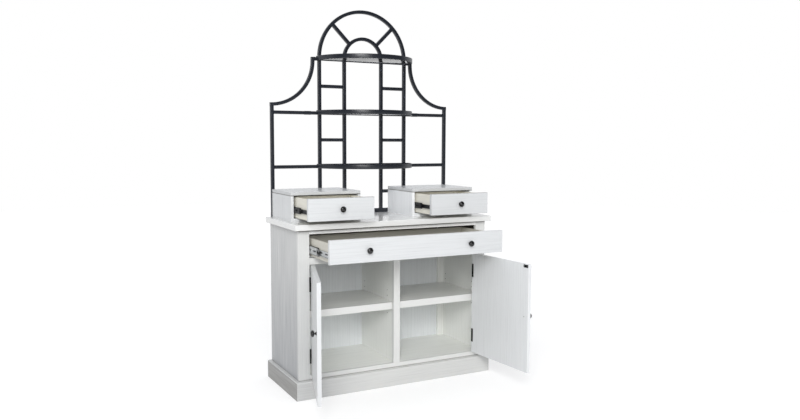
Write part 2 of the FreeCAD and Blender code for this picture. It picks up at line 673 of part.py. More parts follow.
# ---------------------------------------------------------------- drawer boxes on the top
def save_upper_box(name, side, opened):
    """A small box with a drawer, standing on the cabinet top in front of the hutch."""
    x_low, x_high = sorted((side * BOX_INNER, side * BOX_OUTER))
    opening_low = COUNTER + BOX_BASE_THICKNESS
    opening_high = BOX_TOP - BOX_TOP_THICKNESS
    inner_low = x_low + BOX_SIDE_THICKNESS
    inner_high = x_high - BOX_SIDE_THICKNESS
    lid = block(x_low, x_high, BOX_FRONT, BOX_REAR, opening_high, BOX_TOP)
    lid = eased(lid, FRONT_EDGE_ROUND, lambda p: near(p.z, BOX_TOP))
    sides = [block(x_low, inner_low, BOX_FRONT, BOX_REAR, COUNTER, opening_high),
             block(inner_high, x_high, BOX_FRONT, BOX_REAR, COUNTER, opening_high)]
    inner_rear = BOX_REAR - BOX_BACK_THICKNESS
    base = block(inner_low, inner_high, BOX_FRONT, inner_rear, COUNTER, opening_low)
    back = block(inner_low, inner_high, inner_rear, BOX_REAR, COUNTER, opening_high)
    save(name + "_box_top", lid)
    save(name + "_box_case", *sides, base, back)
    middle_x = (x_low + x_high) / 2
    foot = Vector(middle_x, BOX_FRONT, (opening_low + opening_high) / 2)
    box_low = opening_low + SMALL_BOX_LIFT
    box_ends = (inner_low + SLIDE_WIDTH, inner_high - SLIDE_WIDTH, box_low, box_low + SMALL_BOX_HEIGHT)
    knobs = save_drawer(name, (inner_low, inner_high, opening_low, opening_high), BOX_FRONT,
                        box_ends, inner_rear - SMALL_REAR_SPACE, [foot], opened)
    start = BOX_FRONT + FRONT_THICKNESS + SLIDE_SETBACK
    faces = [(inner_low, 1), (inner_high, -1)]
    fixed, centres, drawers, cages = slide_pair(faces, start, SMALL_SLIDE_LENGTH,
                                                opening_low + SMALL_SLIDE_AT, SMALL_SLIDE_HEIGHT,
                                                SMALL_SLIDE_SLOTS, opened)
    save(name + "_slide_middle_members", *centres, *cages)
    save(name + "_drawer_knob_and_slides", *knobs, *drawers)
    return fixed


# ---------------------------------------------------------------- hutch of square tube
def rectangle(centre, across, along, width, height):
    """A rectangle in the plane of two unit vectors."""
    corners = [centre + across * (u * width / 2) + along * (v * height / 2)
               for u, v in ((1, 1), (-1, 1), (-1, -1), (1, -1))]
    return flat(corners)


def tube_section(centre, across, along, height=TUBE):
    """A square ring: the tube's cut end."""
    bore = rectangle(centre, across, along, TUBE - 2 * TUBE_WALL, height - 2 * TUBE_WALL)
    return rectangle(centre, across, along, TUBE, height).cut(bore).Faces[0]


def upright(x_middle, z_low, z_high):
    """A vertical tube."""
    centre = Vector(x_middle, HUTCH_MIDDLE, z_low)
    section = tube_section(centre, Vector(1, 0, 0), Vector(0, 1, 0))
    return section.extrude(Vector(0, 0, z_high - z_low))


def level_tube(x_low, x_high, z_top, height=TUBE):
    """A horizontal tube along X."""
    centre = Vector(x_low, HUTCH_MIDDLE, z_top - height / 2)
    section = tube_section(centre, Vector(0, 1, 0), Vector(0, 0, 1), height)
    return section.extrude(Vector(x_high - x_low, 0, 0))


def bent_tube(centre_x, centre_z, radius, start, turn):
    """A tube bent in the hutch's plane round a centre, from a start angle through a turn."""
    centre = Vector(centre_x, HUTCH_MIDDLE, centre_z)
    outward = Vector(math.cos(math.radians(start)), 0, math.sin(math.radians(start)))
    section = tube_section(centre + outward * radius, outward, Vector(0, 1, 0))
    return section.revolve(centre, Vector(0, -1, 0), turn)


def arch(post_face):
    """Two posts and the half circle that joins them, bent from one tube."""
    middle = post_face - TUBE / 2
    low = COUNTER + BASE_RAIL_HEIGHT
    bow = bent_tube(0, SPRING, middle, 0, 180)
    return bow.fuse([upright(-middle, low, SPRING), upright(middle, low, SPRING)]).removeSplitter()


def spokes():
    """Straight tubes between the two arches, cut to fit round them."""
    middle = Vector(0, HUTCH_FRONT, SPRING)
    back = Vector(0, 1, 0)
    ring = Part.makeCylinder(ARCH_POST_FACE - TUBE, TUBE, middle, back)
    ring = ring.cut(Part.makeCylinder(INNER_POST_FACE, TUBE, middle, back))
    solids = []
    for angle in SPOKE_ANGLES:
        outward = Vector(math.cos(math.radians(angle)), 0, math.sin(math.radians(angle)))
        across = Vector(-outward.z, 0, outward.x)
        centre = Vector(0, HUTCH_MIDDLE, SPRING) + outward * (INNER_POST_FACE - TUBE)
        blank = tube_section(centre, across, back).extrude(outward * ARCH_POST_FACE)
        solids.extend(blank.common(ring).Solids)
    return solids


def brace_top_x():
    """Middle of the brace's upper end, beside the outer arch."""
    return ARCH_POST_FACE + BRACE_LINK + TUBE / 2


def brace_end_z():
    """Underside of the brace's lower end, on the outer post."""
    return SPRING - TUBE - (BRACE_END - brace_top_x()) - TUBE / 2


def wing_brace():
    """Right-hand quarter-circle brace from the arch down to the outer post, with end caps."""
    top_x = brace_top_x()
    low = brace_end_z()
    bend = bent_tube(BRACE_END, SPRING - TUBE, BRACE_END - top_x, 180, 90)
    riser = upright(top_x, SPRING - TUBE, SPRING - CAP_THICKNESS)
    tube = bend.fuse(riser).removeSplitter()
    top_cap = block(top_x - TUBE / 2, top_x + TUBE / 2, HUTCH_FRONT, HUTCH_REAR,
                    SPRING - CAP_THICKNESS, SPRING)
    end_cap = block(BRACE_END, OUTER_POST_FACE, HUTCH_FRONT, HUTCH_REAR, low, low + TUBE)
    return [tube, top_cap, end_cap]


def outer_post():
    """Right-hand outer post, under the end of its brace."""
    return upright(OUTER_POST_FACE - TUBE / 2, COUNTER + BASE_RAIL_HEIGHT, brace_end_z())


def rungs():
    """Right-hand rungs of the ladder between the two inner posts, half way between the levels."""
    return [level_tube(INNER_POST_FACE, ARCH_POST_FACE - TUBE, top - LEVEL_PITCH / 2)
            for top in LEVEL_TOPS]


def wing_rails():
    """Right-hand rails to the outer post, and the short link to the brace at the top level."""
    rails = [level_tube(ARCH_POST_FACE, OUTER_POST_FACE - TUBE, top) for top in LEVEL_TOPS[:-1]]
    return rails + [level_tube(ARCH_POST_FACE, ARCH_POST_FACE + BRACE_LINK, SPRING)]


def both_sides(solids):
    return solids + [mirrored(s) for s in solids]


# ---------------------------------------------------------------- bow-fronted shelves
RIM_CENTRE_Y = HUTCH_FRONT - RIM_PROJECTION + RIM_RADIUS


def shelf_rim(level_top):
    """A flat bar bent to a bow, the bar that closes its back, and the tabs that carry the glass."""
    low = level_top - TUBE
    inner_radius = RIM_RADIUS - RIM_THICKNESS
    axis = Vector(0, RIM_CENTRE_Y, low)
    inside = Part.makeCylinder(inner_radius, RIM_HEIGHT, axis)
    hoop = Part.makeCylinder(RIM_RADIUS, RIM_HEIGHT, axis).cut(inside)
    reach = RIM_RADIUS + 1
    back = HUTCH_FRONT - RIM_THICKNESS
    front_part = block(-reach, reach, RIM_CENTRE_Y - reach, HUTCH_FRONT, low, low + RIM_HEIGHT)
    bow = hoop.common(front_part).Solids[0]
    chord = block(-reach, reach, back, HUTCH_FRONT, low, low + RIM_HEIGHT).common(inside)
    tab_low = low + TAB_RISE
    tab_end = math.sqrt(inner_radius ** 2 - (TAB_WIDTH / 2) ** 2)
    tabs = []
    for angle in TAB_ANGLES:
        tab = block(tab_end - TAB_REACH, tab_end, -TAB_WIDTH / 2, TAB_WIDTH / 2,
                    tab_low, tab_low + TAB_THICKNESS)
        tab.rotate(ORIGIN, Vector(0, 0, 1), angle)
        tab.translate(Vector(0, RIM_CENTRE_Y, 0))
        tabs.append(tab)
    for x_middle in (-INNER_POST_FACE, INNER_POST_FACE):
        tabs.append(block(x_middle - TAB_WIDTH / 2, x_middle + TAB_WIDTH / 2, back - TAB_REACH, back,
                          tab_low, tab_low + TAB_THICKNESS))
    return [bow] + chord.Solids + tabs


def glass_shelf(level_top):
    low = level_top - TUBE + TAB_RISE + TAB_THICKNESS
    radius = RIM_RADIUS - RIM_THICKNESS - GLASS_CLEARANCE
    disc = Part.makeCylinder(radius, GLASS_THICKNESS, Vector(0, RIM_CENTRE_Y, low))
    rear = HUTCH_FRONT - RIM_THICKNESS - GLASS_CLEARANCE
    front_part = block(-RIM_RADIUS, RIM_RADIUS, RIM_CENTRE_Y - RIM_RADIUS, rear,
                       low, low + GLASS_THICKNESS)
    return disc.common(front_part).Solids[0]


# ---------------------------------------------------------------- write every node
def save_cabinet():
    save("tabletop", tabletop())
    for name, side in (("left", -1), ("right", 1)):
        save("side_panel_" + name, side_panel(side))
        save("cabinet_shelf_" + name, cabinet_shelf(side))
    save("front_stiles", *[front_stile(side) for side in SIDES])
    save("partition", partition())
    save("centre_stile", centre_stile())
    save("face_frame_rails", front_rail(DRAWER_HIGH, TOP_UNDERSIDE), front_rail(DOOR_TOP, DRAWER_LOW),
         front_rail(CARCASS_LIFT, FLOOR_TOP))
    save("stretchers", *stretchers())
    save("floor_panel", floor_panel())
    save("back_panel", back_panel())
    save("rear_frame", *[rear_stile(side) for side in SIDES], *rear_rails())
    save("plinth_boards", *plinth_boards())
    save("plinth_blocks", *plinth_blocks())
    save("slide_cleats", *slide_cleats())
    save("shelf_pins", *shelf_pins())
    save("door_catches", *door_catches())


def save_hutch():
    end = OUTER_POST_FACE
    save("hutch_base_rail", level_tube(-end, end, COUNTER + BASE_RAIL_HEIGHT, BASE_RAIL_HEIGHT))
    save("hutch_outer_posts", *both_sides([outer_post()]))
    save("hutch_outer_arch", arch(ARCH_POST_FACE))
    save("hutch_inner_arch", arch(INNER_POST_FACE))
    save("hutch_spokes", *spokes())
    save("hutch_wing_braces", *both_sides(wing_brace()))
    save("hutch_wing_rails", *both_sides(wing_rails()))
    save("hutch_rungs", *both_sides(rungs()))
    for name, top in zip(("lower", "middle", "upper"), LEVEL_TOPS):
        save("shelf_rim_" + name, *shelf_rim(top))
        save("glass_shelf_" + name, glass_shelf(top))


def main():
    os.makedirs("parts", exist_ok=True)
    save_cabinet()
    save_hutch()
    save_wide_drawer()
    fixed = save_upper_box("left", -1, LEFT_DRAWER_OPEN) + save_upper_box("right", 1, RIGHT_DRAWER_OPEN)
    save("small_slide_box_members", *fixed)
    save("hinge_frame_leaves", *both_sides([frame_leaf(low) for low in hinge_heights()]))
    save_door("left", -1, LEFT_DOOR_ANGLE, LEFT_DOOR_KNOB_HEIGHT)
    save_door("right", 1, RIGHT_DOOR_ANGLE, RIGHT_DOOR_KNOB_HEIGHT)


main()
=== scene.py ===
"""Looks of a bakers rack: a painted sideboard with a black steel hutch.

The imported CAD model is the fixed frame.  Painted boards keep their CAD solids and get eased edges
and brushed paint.  Steel tubes, glass, knobs and hinges are made here as smooth surfaces that stand
for their CAD nodes.  Lengths are in metres, in the frame of the CAD model.
"""
import json
import math

import bpy
import numpy as np
from bpy.props import FloatProperty, FloatVectorProperty, IntProperty, PointerProperty
from bpy.types import Operator, Panel, PropertyGroup
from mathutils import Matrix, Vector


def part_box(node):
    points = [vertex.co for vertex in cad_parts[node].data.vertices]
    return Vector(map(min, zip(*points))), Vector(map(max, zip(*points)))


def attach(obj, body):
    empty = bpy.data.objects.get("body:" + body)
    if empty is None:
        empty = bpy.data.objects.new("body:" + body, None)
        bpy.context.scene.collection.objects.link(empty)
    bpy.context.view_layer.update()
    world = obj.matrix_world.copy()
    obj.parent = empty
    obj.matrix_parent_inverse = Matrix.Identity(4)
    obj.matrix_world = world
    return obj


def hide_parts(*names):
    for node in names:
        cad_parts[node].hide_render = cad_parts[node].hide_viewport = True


bl_info = {
    "name": "Bakers Rack Looks",
    "version": (1, 0, 0),
    "blender": (4, 5, 0),
    "location": "View3D > Sidebar > Bakers Rack",
    "description": "Dresses the frame of a bakers rack with paint, steel and glass",
    "category": "Object",
}

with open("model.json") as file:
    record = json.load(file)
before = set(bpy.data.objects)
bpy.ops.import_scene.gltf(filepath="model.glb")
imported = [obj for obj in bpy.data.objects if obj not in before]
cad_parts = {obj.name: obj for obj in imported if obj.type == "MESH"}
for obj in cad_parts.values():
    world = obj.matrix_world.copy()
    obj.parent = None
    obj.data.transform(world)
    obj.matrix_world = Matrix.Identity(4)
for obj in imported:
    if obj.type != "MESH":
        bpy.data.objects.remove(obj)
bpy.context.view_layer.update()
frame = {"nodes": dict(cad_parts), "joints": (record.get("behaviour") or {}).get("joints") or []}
NODES = frame["nodes"]
JOINTS = {joint["name"]: joint for joint in frame["joints"]}
SIDES = (("left", -1), ("right", 1))

MM = 0.001
EVEN = (1, 1, 1)                     # a pattern that isn't stretched
DEEP = np.array((0.0, 1.0, 0.0))     # from the front to the rear
PANEL = 20 * MM                      # thickness of a door


# ------------------------------------------------------------------ sizes and colours
def length_prop(name, default, description):
    return FloatProperty(name=name, description=description, default=default, unit="LENGTH")


def colour_prop(name, default, description):
    return FloatVectorProperty(name=name, description=description, default=default,
                               subtype="COLOR")


class BoardLooks(PropertyGroup):
    edge: length_prop("Eased Edge", 0.9 * MM, "Width of the eased edge of a board")
    # Paint, top, cupboard and front are one antique white, each set lighter or darker to match how
    # bright those faces look under these lamps: the top's and cupboards' lighter whites are partly
    # painted light, the fronts' darker white partly painted shade; the fronts' cooler tint is their
    # own.
    paint: colour_prop("Paint", (0.79, 0.793, 0.775), "Antique-white paint of the outside")
    top: colour_prop("Top Paint", (0.845, 0.847, 0.835), "Antique white of the top board")
    cupboard: colour_prop("Cupboard Paint", (0.945, 0.955, 0.92), "White inside the cupboards")
    front: colour_prop("Front Paint", (0.715, 0.728, 0.737), "Cooler white of fronts and boxes")
    # Side Glaze is painted shade: a grey that stands for the shade on the outer sides.
    side_shade: colour_prop("Side Glaze", (0.33, 0.34, 0.355), "Grey glaze on the outer sides")
    # Bare Board is very dark painted shade in the drawer's cavity and under the top; the hidden
    # blocks and cleats take it too.
    inside: colour_prop("Bare Board", (0.13, 0.116, 0.092), "Unpainted board under the top")
    drawer: colour_prop("Drawer Board", (0.84, 0.815, 0.725), "Pale board of the drawer boxes")
    back: colour_prop("Back Panel", (0.87, 0.895, 0.91), "Cooler white of the back panel")


class SteelLooks(PropertyGroup):
    corner: length_prop("Tube Corner", 2.2 * MM, "Outer corner radius of the square tube")
    cap: length_prop("End Cap", 1.5 * MM, "Thickness of a brace's end cap")
    bar: length_prop("Rim Bar", 4.0 * MM, "Thickness of a shelf rim's flat bar")
    tab_width: length_prop("Tab Width", 20 * MM, "Width of a tab that carries glass")
    tab_reach: length_prop("Tab Reach", 10 * MM, "How far a tab reaches under the glass")
    steps: IntProperty(name="Arc Steps", description="Sections along a half circle of tube",
                       default=72)
    coat: colour_prop("Powder Coat", (0.0075, 0.0095, 0.0145), "Satin black of the hutch")


class HardwareLooks(PropertyGroup):
    knob_inset: length_prop("Knob Inset", 30 * MM, "Door knob from the door's free edge")
    knob_radius: length_prop("Knob Radius", 15.8 * MM, "Radius of a knob's head")
    knob_length: length_prop("Knob Length", 28 * MM, "Foot to crown of a knob")
    leaf: length_prop("Leaf Thickness", 1.6 * MM, "Thickness of a hinge leaf")
    wrap: length_prop("Leaf Wrap", 14 * MM, "How far a leaf wraps on the door's inside")
    barrel: length_prop("Knuckle Radius", 4.0 * MM, "Radius of a hinge knuckle")
    hole: length_prop("Pin Hole Radius", 2.5 * MM, "Radius of a shelf-pin hole")
    segments: IntProperty(name="Turned Segments", description="Facets round a turned piece",
                          default=48)
    black: colour_prop("Black", (0.003, 0.003, 0.0035), "Gloss black of knobs and hinges")
    zinc: colour_prop("Zinc", (0.66, 0.68, 0.69), "Zinc plating of the wide drawer's slides")
    glass: colour_prop("Glass", (0.91, 0.92, 1.0), "Tint of the shelf glass")


# ------------------------------------------------------------------ shader tools
class Term:
    """A shader value that can be written in sums, differences and products."""

    def __init__(self, shader, socket):
        self.shader = shader
        self.socket = socket

    def maths(self, operation, first, second):
        return self.shader.add("ShaderNodeMath", {"operation": operation}, first, second)

    def __add__(self, other):
        return self.maths("ADD", self, other)

    def __sub__(self, other):
        return self.maths("SUBTRACT", self, other)

    def __rsub__(self, other):
        return self.maths("SUBTRACT", other, self)

    def __mul__(self, other):
        return self.maths("MULTIPLY", self, other)

    def most(self, other):
        return self.maths("MAXIMUM", self, other)

    def size(self):
        return self.maths("ABSOLUTE", self, 0.0)

    __radd__ = __add__
    __rmul__ = __mul__


class Shader:
    """A node tree written as expressions, which ends in one output node."""

    def __init__(self, tree, ending):
        self.tree = tree
        tree.nodes.clear()
        self.output = tree.nodes.new(ending)

    def feed(self, socket, value):
        """Link a term to a socket, or set a constant on it; a colour is made opaque."""
        if isinstance(value, Term):
            self.tree.links.new(value.socket, socket)
        else:
            socket.default_value = (*value, 1.0) if socket.type == "RGBA" else value

    def add(self, kind, settings, *values, output=0, **named):
        """A node with its settings first, then the values or links of its sockets."""
        node = self.tree.nodes.new(kind)
        for key, value in settings.items():
            setattr(node, key, value)
        for socket, value in zip(node.inputs, values):
            if value is not None:
                self.feed(socket, value)
        for key, value in named.items():
            self.feed(node.inputs[key.replace("_", " ")], value)
        return Term(self, node.outputs[output])

    def end(self, surface):
        self.tree.links.new(surface.socket, self.output.inputs["Surface"])

    def place(self, stretch=EVEN):
        """Object coordinates, stretched along the axes."""
        point = self.add("ShaderNodeTexCoord", {}, output="Object")
        return self.add("ShaderNodeMapping", {}, Vector=point, Scale=stretch)

    def along(self, axis, coordinates="Object"):
        """Distance along an axis of the object."""
        point = self.add("ShaderNodeTexCoord", {}, output=coordinates)
        return self.add("ShaderNodeSeparateXYZ", {}, Vector=point, output="xyz".index(axis))

    def ray(self, kind):
        """1 for rays of a kind, and 0 for the rest."""
        return self.add("ShaderNodeLightPath", {}, output="Is " + kind + " Ray")

    def noise(self, stretch, scale, detail=2.0, roughness=0.55):
        return self.add("ShaderNodeTexNoise", {}, Vector=self.place(stretch), Scale=scale,
                        Detail=detail, Roughness=roughness)

    def ramp(self, value, low, high, least=0.0, most=1.0):
        """Least at low and most at high, straight between and level beyond."""
        return self.add("ShaderNodeMapRange", {"clamp": True}, Value=value, From_Min=low,
                        From_Max=high, To_Min=least, To_Max=most)

    def blend(self, factor, first, second):
        """A colour between two colours."""
        unused = [None] * 5
        return self.add("ShaderNodeMix", {"data_type": "RGBA"}, factor, *unused, first, second,
                        output=2)

    def bump(self, height, strength, distance):
        return self.add("ShaderNodeBump", {}, Strength=strength, Distance=distance, Height=height)


class Finish(Shader):
    """One material, which ends in a Principled surface."""

    def __init__(self, name):
        self.material = bpy.data.materials.new(name)
        self.material.use_nodes = True
        self.streaks = None          # its brush strokes, once they are made
        super().__init__(self.material.node_tree, "ShaderNodeOutputMaterial")

    def close(self, **sockets):
        self.end(self.add("ShaderNodeBsdfPrincipled", {}, **sockets))
        return self.material


def shade(colour, share):
    """A colour made darker, or lighter where the share is over 1."""
    return tuple(share * channel for channel in colour)


# ------------------------------------------------------------------ materials
FINISHES = {}
GRAIN = {"x": (0.25, 14.0, 14.0), "y": (14.0, 0.25, 14.0), "z": (14.0, 14.0, 0.25)}
SOFT = 0.4 * MM                      # half the blur where two finishes meet
EASED = 1.2 * MM                     # takes in the eased edge beside a face
SEAM = (3.2 * MM, 1.8 * MM)          # a seam's painted shadow fades out and is full at these distances
SIDE_SHADE_RISE = (0.95, 0.10)            # heights where the sides' painted shade ends and is heaviest
CORNER_SHADE_RISE = (0.85, 0.10)           # the same for the painted shade at the front's lower left corner
CORNER_SHADE_REACH = (-0.15, -0.50)        # and where it ends and is heaviest towards the left
# The colour of the painted shadow in the joints.
SEAM_SHADOW = (0.12, 0.112, 0.10)
LIP = 20.2 * MM                      # depth of a cupboard shelf's front lip
# Painted shade on the plinth's ends.
FOOT_SHADE = (0.24, 0.235, 0.225)
RAIL_LIGHT = (0.98, 0.98, 0.97)      # painted highlight on the top rail over the wide drawer's front


def strokes(finish, axis):
    """Brush strokes along an axis."""
    return finish.noise(GRAIN[axis], 14.0, detail=4.0, roughness=0.62)


def brushed_paint(name, colour, axis, roughness, over=(), coat=0.15):
    """Satin paint laid on with a brush: long streaks along one axis, over slow cloudy tone.

    A thin darker glaze stays between the strokes.  Each function in over lays another colour on
    part of the surface; most are painted shade, painted shadow or a painted highlight.
    """
    finish = Finish(name)
    streaks = finish.streaks = strokes(finish, axis)
    hairs = finish.noise(GRAIN[axis], 60.0)
    cloud = finish.noise(EVEN, 3.0)
    mask = finish.ramp(streaks * 0.72 + hairs * 0.28, 0.46, 0.72)
    tone = finish.blend(mask * 0.40 + cloud * 0.10, colour, shade(colour, 0.70))
    for layer in over:
        tone = layer(finish, tone)
    return finish.close(
        Base_Color=tone, Roughness=roughness + mask * 0.12 + cloud * 0.06,
        Normal=finish.bump(streaks + hairs * 0.6, 0.22, 0.25 * MM), Coat_Roughness=0.08,
        Coat_Weight=coat)


def shaded_side(half_width, paint, side_shade, axis="z"):
    """Past a half width, outside paint under grey painted shade, in streaks along an axis.

    The painted shade is heavier near the floor.
    """
    def over(finish, tone):
        far = finish.ramp(finish.along("x").size(), half_width - EASED, half_width - SOFT)
        low = finish.ramp(finish.along("z"), *SIDE_SHADE_RISE)
        streaked = finish.ramp(strokes(finish, axis), 0.32, 0.68)
        outside = finish.blend(0.15 + streaked * 0.40 + low * 0.60, paint, side_shade)
        return finish.blend(far, tone, outside)
    return over


def corner_shade(side_shade):
    """Grey painted shade that grows towards the lower left corner of the front."""
    def over(finish, tone):
        left = finish.ramp(finish.along("x"), *CORNER_SHADE_REACH)
        low = finish.ramp(finish.along("z"), *CORNER_SHADE_RISE)
        # Painted shade, streaked with the brush.
        glaze = left * (0.15 + low * 0.20) * (0.7 + finish.streaks * 0.6)
        return finish.blend(glaze, tone, side_shade)
    return over


def shaded_within(half_width, board):
    """Darker painted shade inside a half width."""
    def over(finish, tone):
        inner = finish.ramp(finish.along("x").size(), half_width + SOFT, half_width - SOFT)
        return finish.blend(inner, tone, board)
    return over


def painted_above(height, board, face=None):
    """Another colour over a height; with a face, on that front alone.

    Round the drawer's cavity it is dark painted shade; on the top rail it is a painted highlight.
    """
    def over(finish, tone):
        above = finish.ramp(finish.along("z"), height - SOFT, height + SOFT)
        if face is not None:
            above = above * finish.ramp(finish.along("y"), face + EASED, face + SOFT)
        return finish.blend(above, tone, board)
    return over


def shade_below(height, board):
    """Dark painted shade on the faces at or under a height."""
    def over(finish, tone):
        under = finish.ramp(finish.along("z"), height + EASED, height + SOFT)
        return finish.blend(under, tone, board)
    return over


def seam_shadow(height, share=0.75):
    """Painted shadow along a level joint, up to a share."""
    def over(finish, tone):
        line = finish.ramp((finish.along("z") - height).size(), *SEAM)
        return finish.blend(line * share, tone, SEAM_SHADOW)
    return over


def lipped_front(front, paint):
    """A lip of outside paint along a shelf's front edge, with a dark seam behind it."""
    def over(finish, tone):
        depth = finish.along("y")
        lip = finish.ramp(depth, front + LIP + 0.1 * MM, front + LIP - 0.3 * MM)
        seam = finish.ramp((depth - (front + LIP)).size(), 0.7 * MM, 0.3 * MM)
        return finish.blend(seam * 0.5, finish.blend(lip, tone, paint), shade(paint, 0.45))
    return over


def pale_board(name, colour, axis, over=()):
    """Smooth pale drawer board with a faint long grain and fine flecks."""
    finish = Finish(name)
    grain = finish.noise(GRAIN[axis], 18.0, detail=5.0, roughness=0.6)
    flecks = finish.noise(GRAIN[axis], 120.0, detail=1.0)
    mask = finish.ramp(grain, 0.42, 0.70)
    tone = finish.blend(mask * 0.5 + finish.ramp(flecks, 0.60, 0.75) * 0.25, colour,
                        shade(colour, 0.86))
    for layer in over:
        tone = layer(finish, tone)
    return finish.close(Base_Color=tone, Roughness=0.5 + mask * 0.08,
                        Normal=finish.bump(grain, 0.12, 0.2 * MM))


def powder_coat(name, colour):
    """Satin black powder coat with a very fine orange-peel skin."""
    finish = Finish(name)
    peel = finish.noise(EVEN, 900.0)
    cloud = finish.noise(EVEN, 25.0)
    return finish.close(
        Base_Color=finish.blend(cloud, colour, shade(colour, 1.5)), Specular_IOR_Level=0.5,
        Roughness=0.30 + cloud * 0.06, Normal=finish.bump(peel, 0.03, 0.12 * MM))


def gloss_black(name, colour, roughness, specular):
    """Lacquered cast knobs and hinges: dark, glossy, a little uneven."""
    finish = Finish(name)
    cast = finish.noise(EVEN, 260.0)
    return finish.close(
        Base_Color=finish.blend(cast, colour, shade(colour, 2.0)),
        Roughness=roughness + cast * 0.06, Specular_IOR_Level=specular,
        Normal=finish.bump(cast, 0.04, 0.2 * MM))


def slide_steel(name, colour, metallic, roughness):
    """Rolled and plated steel with fine rolling lines along the slide."""
    finish = Finish(name)
    rolled = finish.noise((200.0, 1.5, 200.0), 3.0, detail=3.0)
    patches = finish.noise(EVEN, 60.0)
    return finish.close(
        Base_Color=finish.blend(rolled * 0.6 + patches * 0.4, colour, shade(colour, 0.62)),
        Metallic=metallic, Roughness=roughness + rolled * 0.14, Specular_IOR_Level=0.3,
        Normal=finish.bump(rolled, 0.1, 0.1 * MM))


def moulded_plastic(name, colour, roughness):
    """Satin moulded plastic with a fine grain in its skin and its tone."""
    finish = Finish(name)
    grain = finish.noise(EVEN, 700.0, detail=1.0)
    return finish.close(
        Base_Color=finish.blend(grain, colour, shade(colour, 0.9)),
        Roughness=roughness + grain * 0.1, Specular_IOR_Level=0.3,
        Normal=finish.bump(grain, 0.1, 0.1 * MM))


def shelf_glass(name, colour):
    """Clear float glass with a slight cool tint and polished faces."""
    finish = Finish(name)
    film = finish.noise(EVEN, 18.0)
    return finish.close(Base_Color=colour, Roughness=film * 0.012, IOR=1.5,
                        Transmission_Weight=1.0)


def make_finishes(boards, steel, hardware):
    """Every finish that the pieces take: its name, the function that makes it and its looks."""
    paint, cupboard, front, inside = boards.paint, boards.cupboard, boards.front, boards.inside
    # The plinth's paint is a darker copy of the paint: painted shade.
    side_shade, foot = boards.side_shade, shade(boards.paint, 0.90)
    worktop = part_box("tabletop")[0][2]
    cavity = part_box("left_door_panel")[1][2] + 3 * MM
    # Painted shadow lines under the top's overhang, along the plinth's top and under the boxes'
    # lids.
    seam_shadows = [seam_shadow(worktop - 4.6 * MM, share=0.9), seam_shadow(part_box("plinth_boards")[1][2])]
    lid_seam_shadow = [seam_shadow(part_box("left_box_top")[0][2])]
    # Painted shade towards the front's lower left corner.
    corner = corner_shade(side_shade)
    # Dark painted shade round the drawer's cavity.
    bare = painted_above(cavity, inside)
    side_x, rear_x, foot_x = (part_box(node)[1][0] for node in
                              ("side_panel_right", "rear_frame", "plinth_boards"))
    rear_y, back_y, shelf_y = (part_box(node)[0][1] for node in
                               ("rear_frame", "back_panel", "cabinet_shelf_left"))
    # Painted shade inside the wide drawer, darker than its board.
    inner_shade = shaded_within(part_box("wide_drawer_box")[1][0] - 13 * MM, shade(boards.drawer, 0.55))
    # A painted highlight on the top rail, where the top's overhang shades it.
    rail = painted_above(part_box("wide_drawer_front")[1][2], RAIL_LIGHT)
    looks = {
        "paint_z": (brushed_paint, paint, "z", 0.30, [corner, *seam_shadows]),
        "cupboard_x": (brushed_paint, cupboard, "x", 0.32, [bare]),
        "cupboard_z": (brushed_paint, cupboard, "z", 0.32, [bare]),
        "front_x": (brushed_paint, front, "x", 0.30, lid_seam_shadow),
        "front_z": (brushed_paint, front, "z", 0.30, lid_seam_shadow),
        # The sides: dark painted shade round the cavity, grey painted shade outside, painted shadow
        # lines at the joints.
        "side": (brushed_paint, cupboard, "z", 0.32,
                 [bare, shaded_side(side_x, paint, side_shade), *seam_shadows]),
        # The rear frame: dark painted shade on its front over the cavity, grey painted shade on its
        # ends.
        "rear_frame": (brushed_paint, cupboard, "z", 0.32,
                       [painted_above(cavity, inside, rear_y),
                        shaded_side(rear_x, paint, side_shade), *seam_shadows]),
        # The plinth: darker paint, grey painted shade on its ends and towards the lower left.
        "plinth": (brushed_paint, foot, "x", 0.32,
                   [corner, shaded_side(foot_x, foot, FOOT_SHADE, "y")]),
        "rails": (brushed_paint, paint, "x", 0.30, [rail, corner, *seam_shadows]),
        # The right door and right box case take lighter copies of the front paint: painted light.
        "right_door": (brushed_paint, shade(front, 1.19), "z", 0.30),
        "right_case": (brushed_paint, shade(front, 1.26), "z", 0.30, lid_seam_shadow),
        # The top: dark painted shade on its underside.
        "top": (brushed_paint, boards.top, "x", 0.20, [shade_below(worktop, inside)], 0.6),
        # The lids take a darker copy of the front paint: painted shade on faces that look up.
        "lid": (brushed_paint, shade(front, 0.85), "x", 0.24, lid_seam_shadow),
        # The shelves take a lighter copy of the cupboard paint: painted light in the cupboards'
        # shade.
        "shelf": (brushed_paint, shade(cupboard, 1.02), "x", 0.32,
                  [lipped_front(shelf_y, paint)]),
        # The back: dark painted shade on its front over the cavity.
        "back": (brushed_paint, boards.back, "z", 0.5, [painted_above(cavity, inside, back_y)]),
        "drawer_y": (pale_board, boards.drawer, "y"),
        "inside": (pale_board, inside, "x"),
        # The wide drawer's board is a darker copy of the drawer board, with more painted shade
        # inside.
        "wide_drawer": (pale_board, shade(boards.drawer, 0.78), "x", [inner_shade]),
        "steel": (powder_coat, steel.coat),
        "black": (gloss_black, hardware.black, 0.06, 0.6),
        "hinge": (gloss_black, hardware.black, 0.40, 0.12),
        # The holes' dark discs are painted shade.
        "hole": (moulded_plastic, (0.10, 0.095, 0.085), 0.8),
        "black_plastic": (moulded_plastic, (0.006, 0.006, 0.006), 0.45),
        "white_plastic": (moulded_plastic, (0.80, 0.80, 0.78), 0.4),
        "glass": (shelf_glass, hardware.glass),
        "zinc": (slide_steel, hardware.zinc, 1.0, 0.24),
        "black_slide": (slide_steel, (0.004, 0.004, 0.005), 0.0, 0.34),
    }
    for name, (make, *settings) in looks.items():
        FINISHES[name] = make(name, *settings)


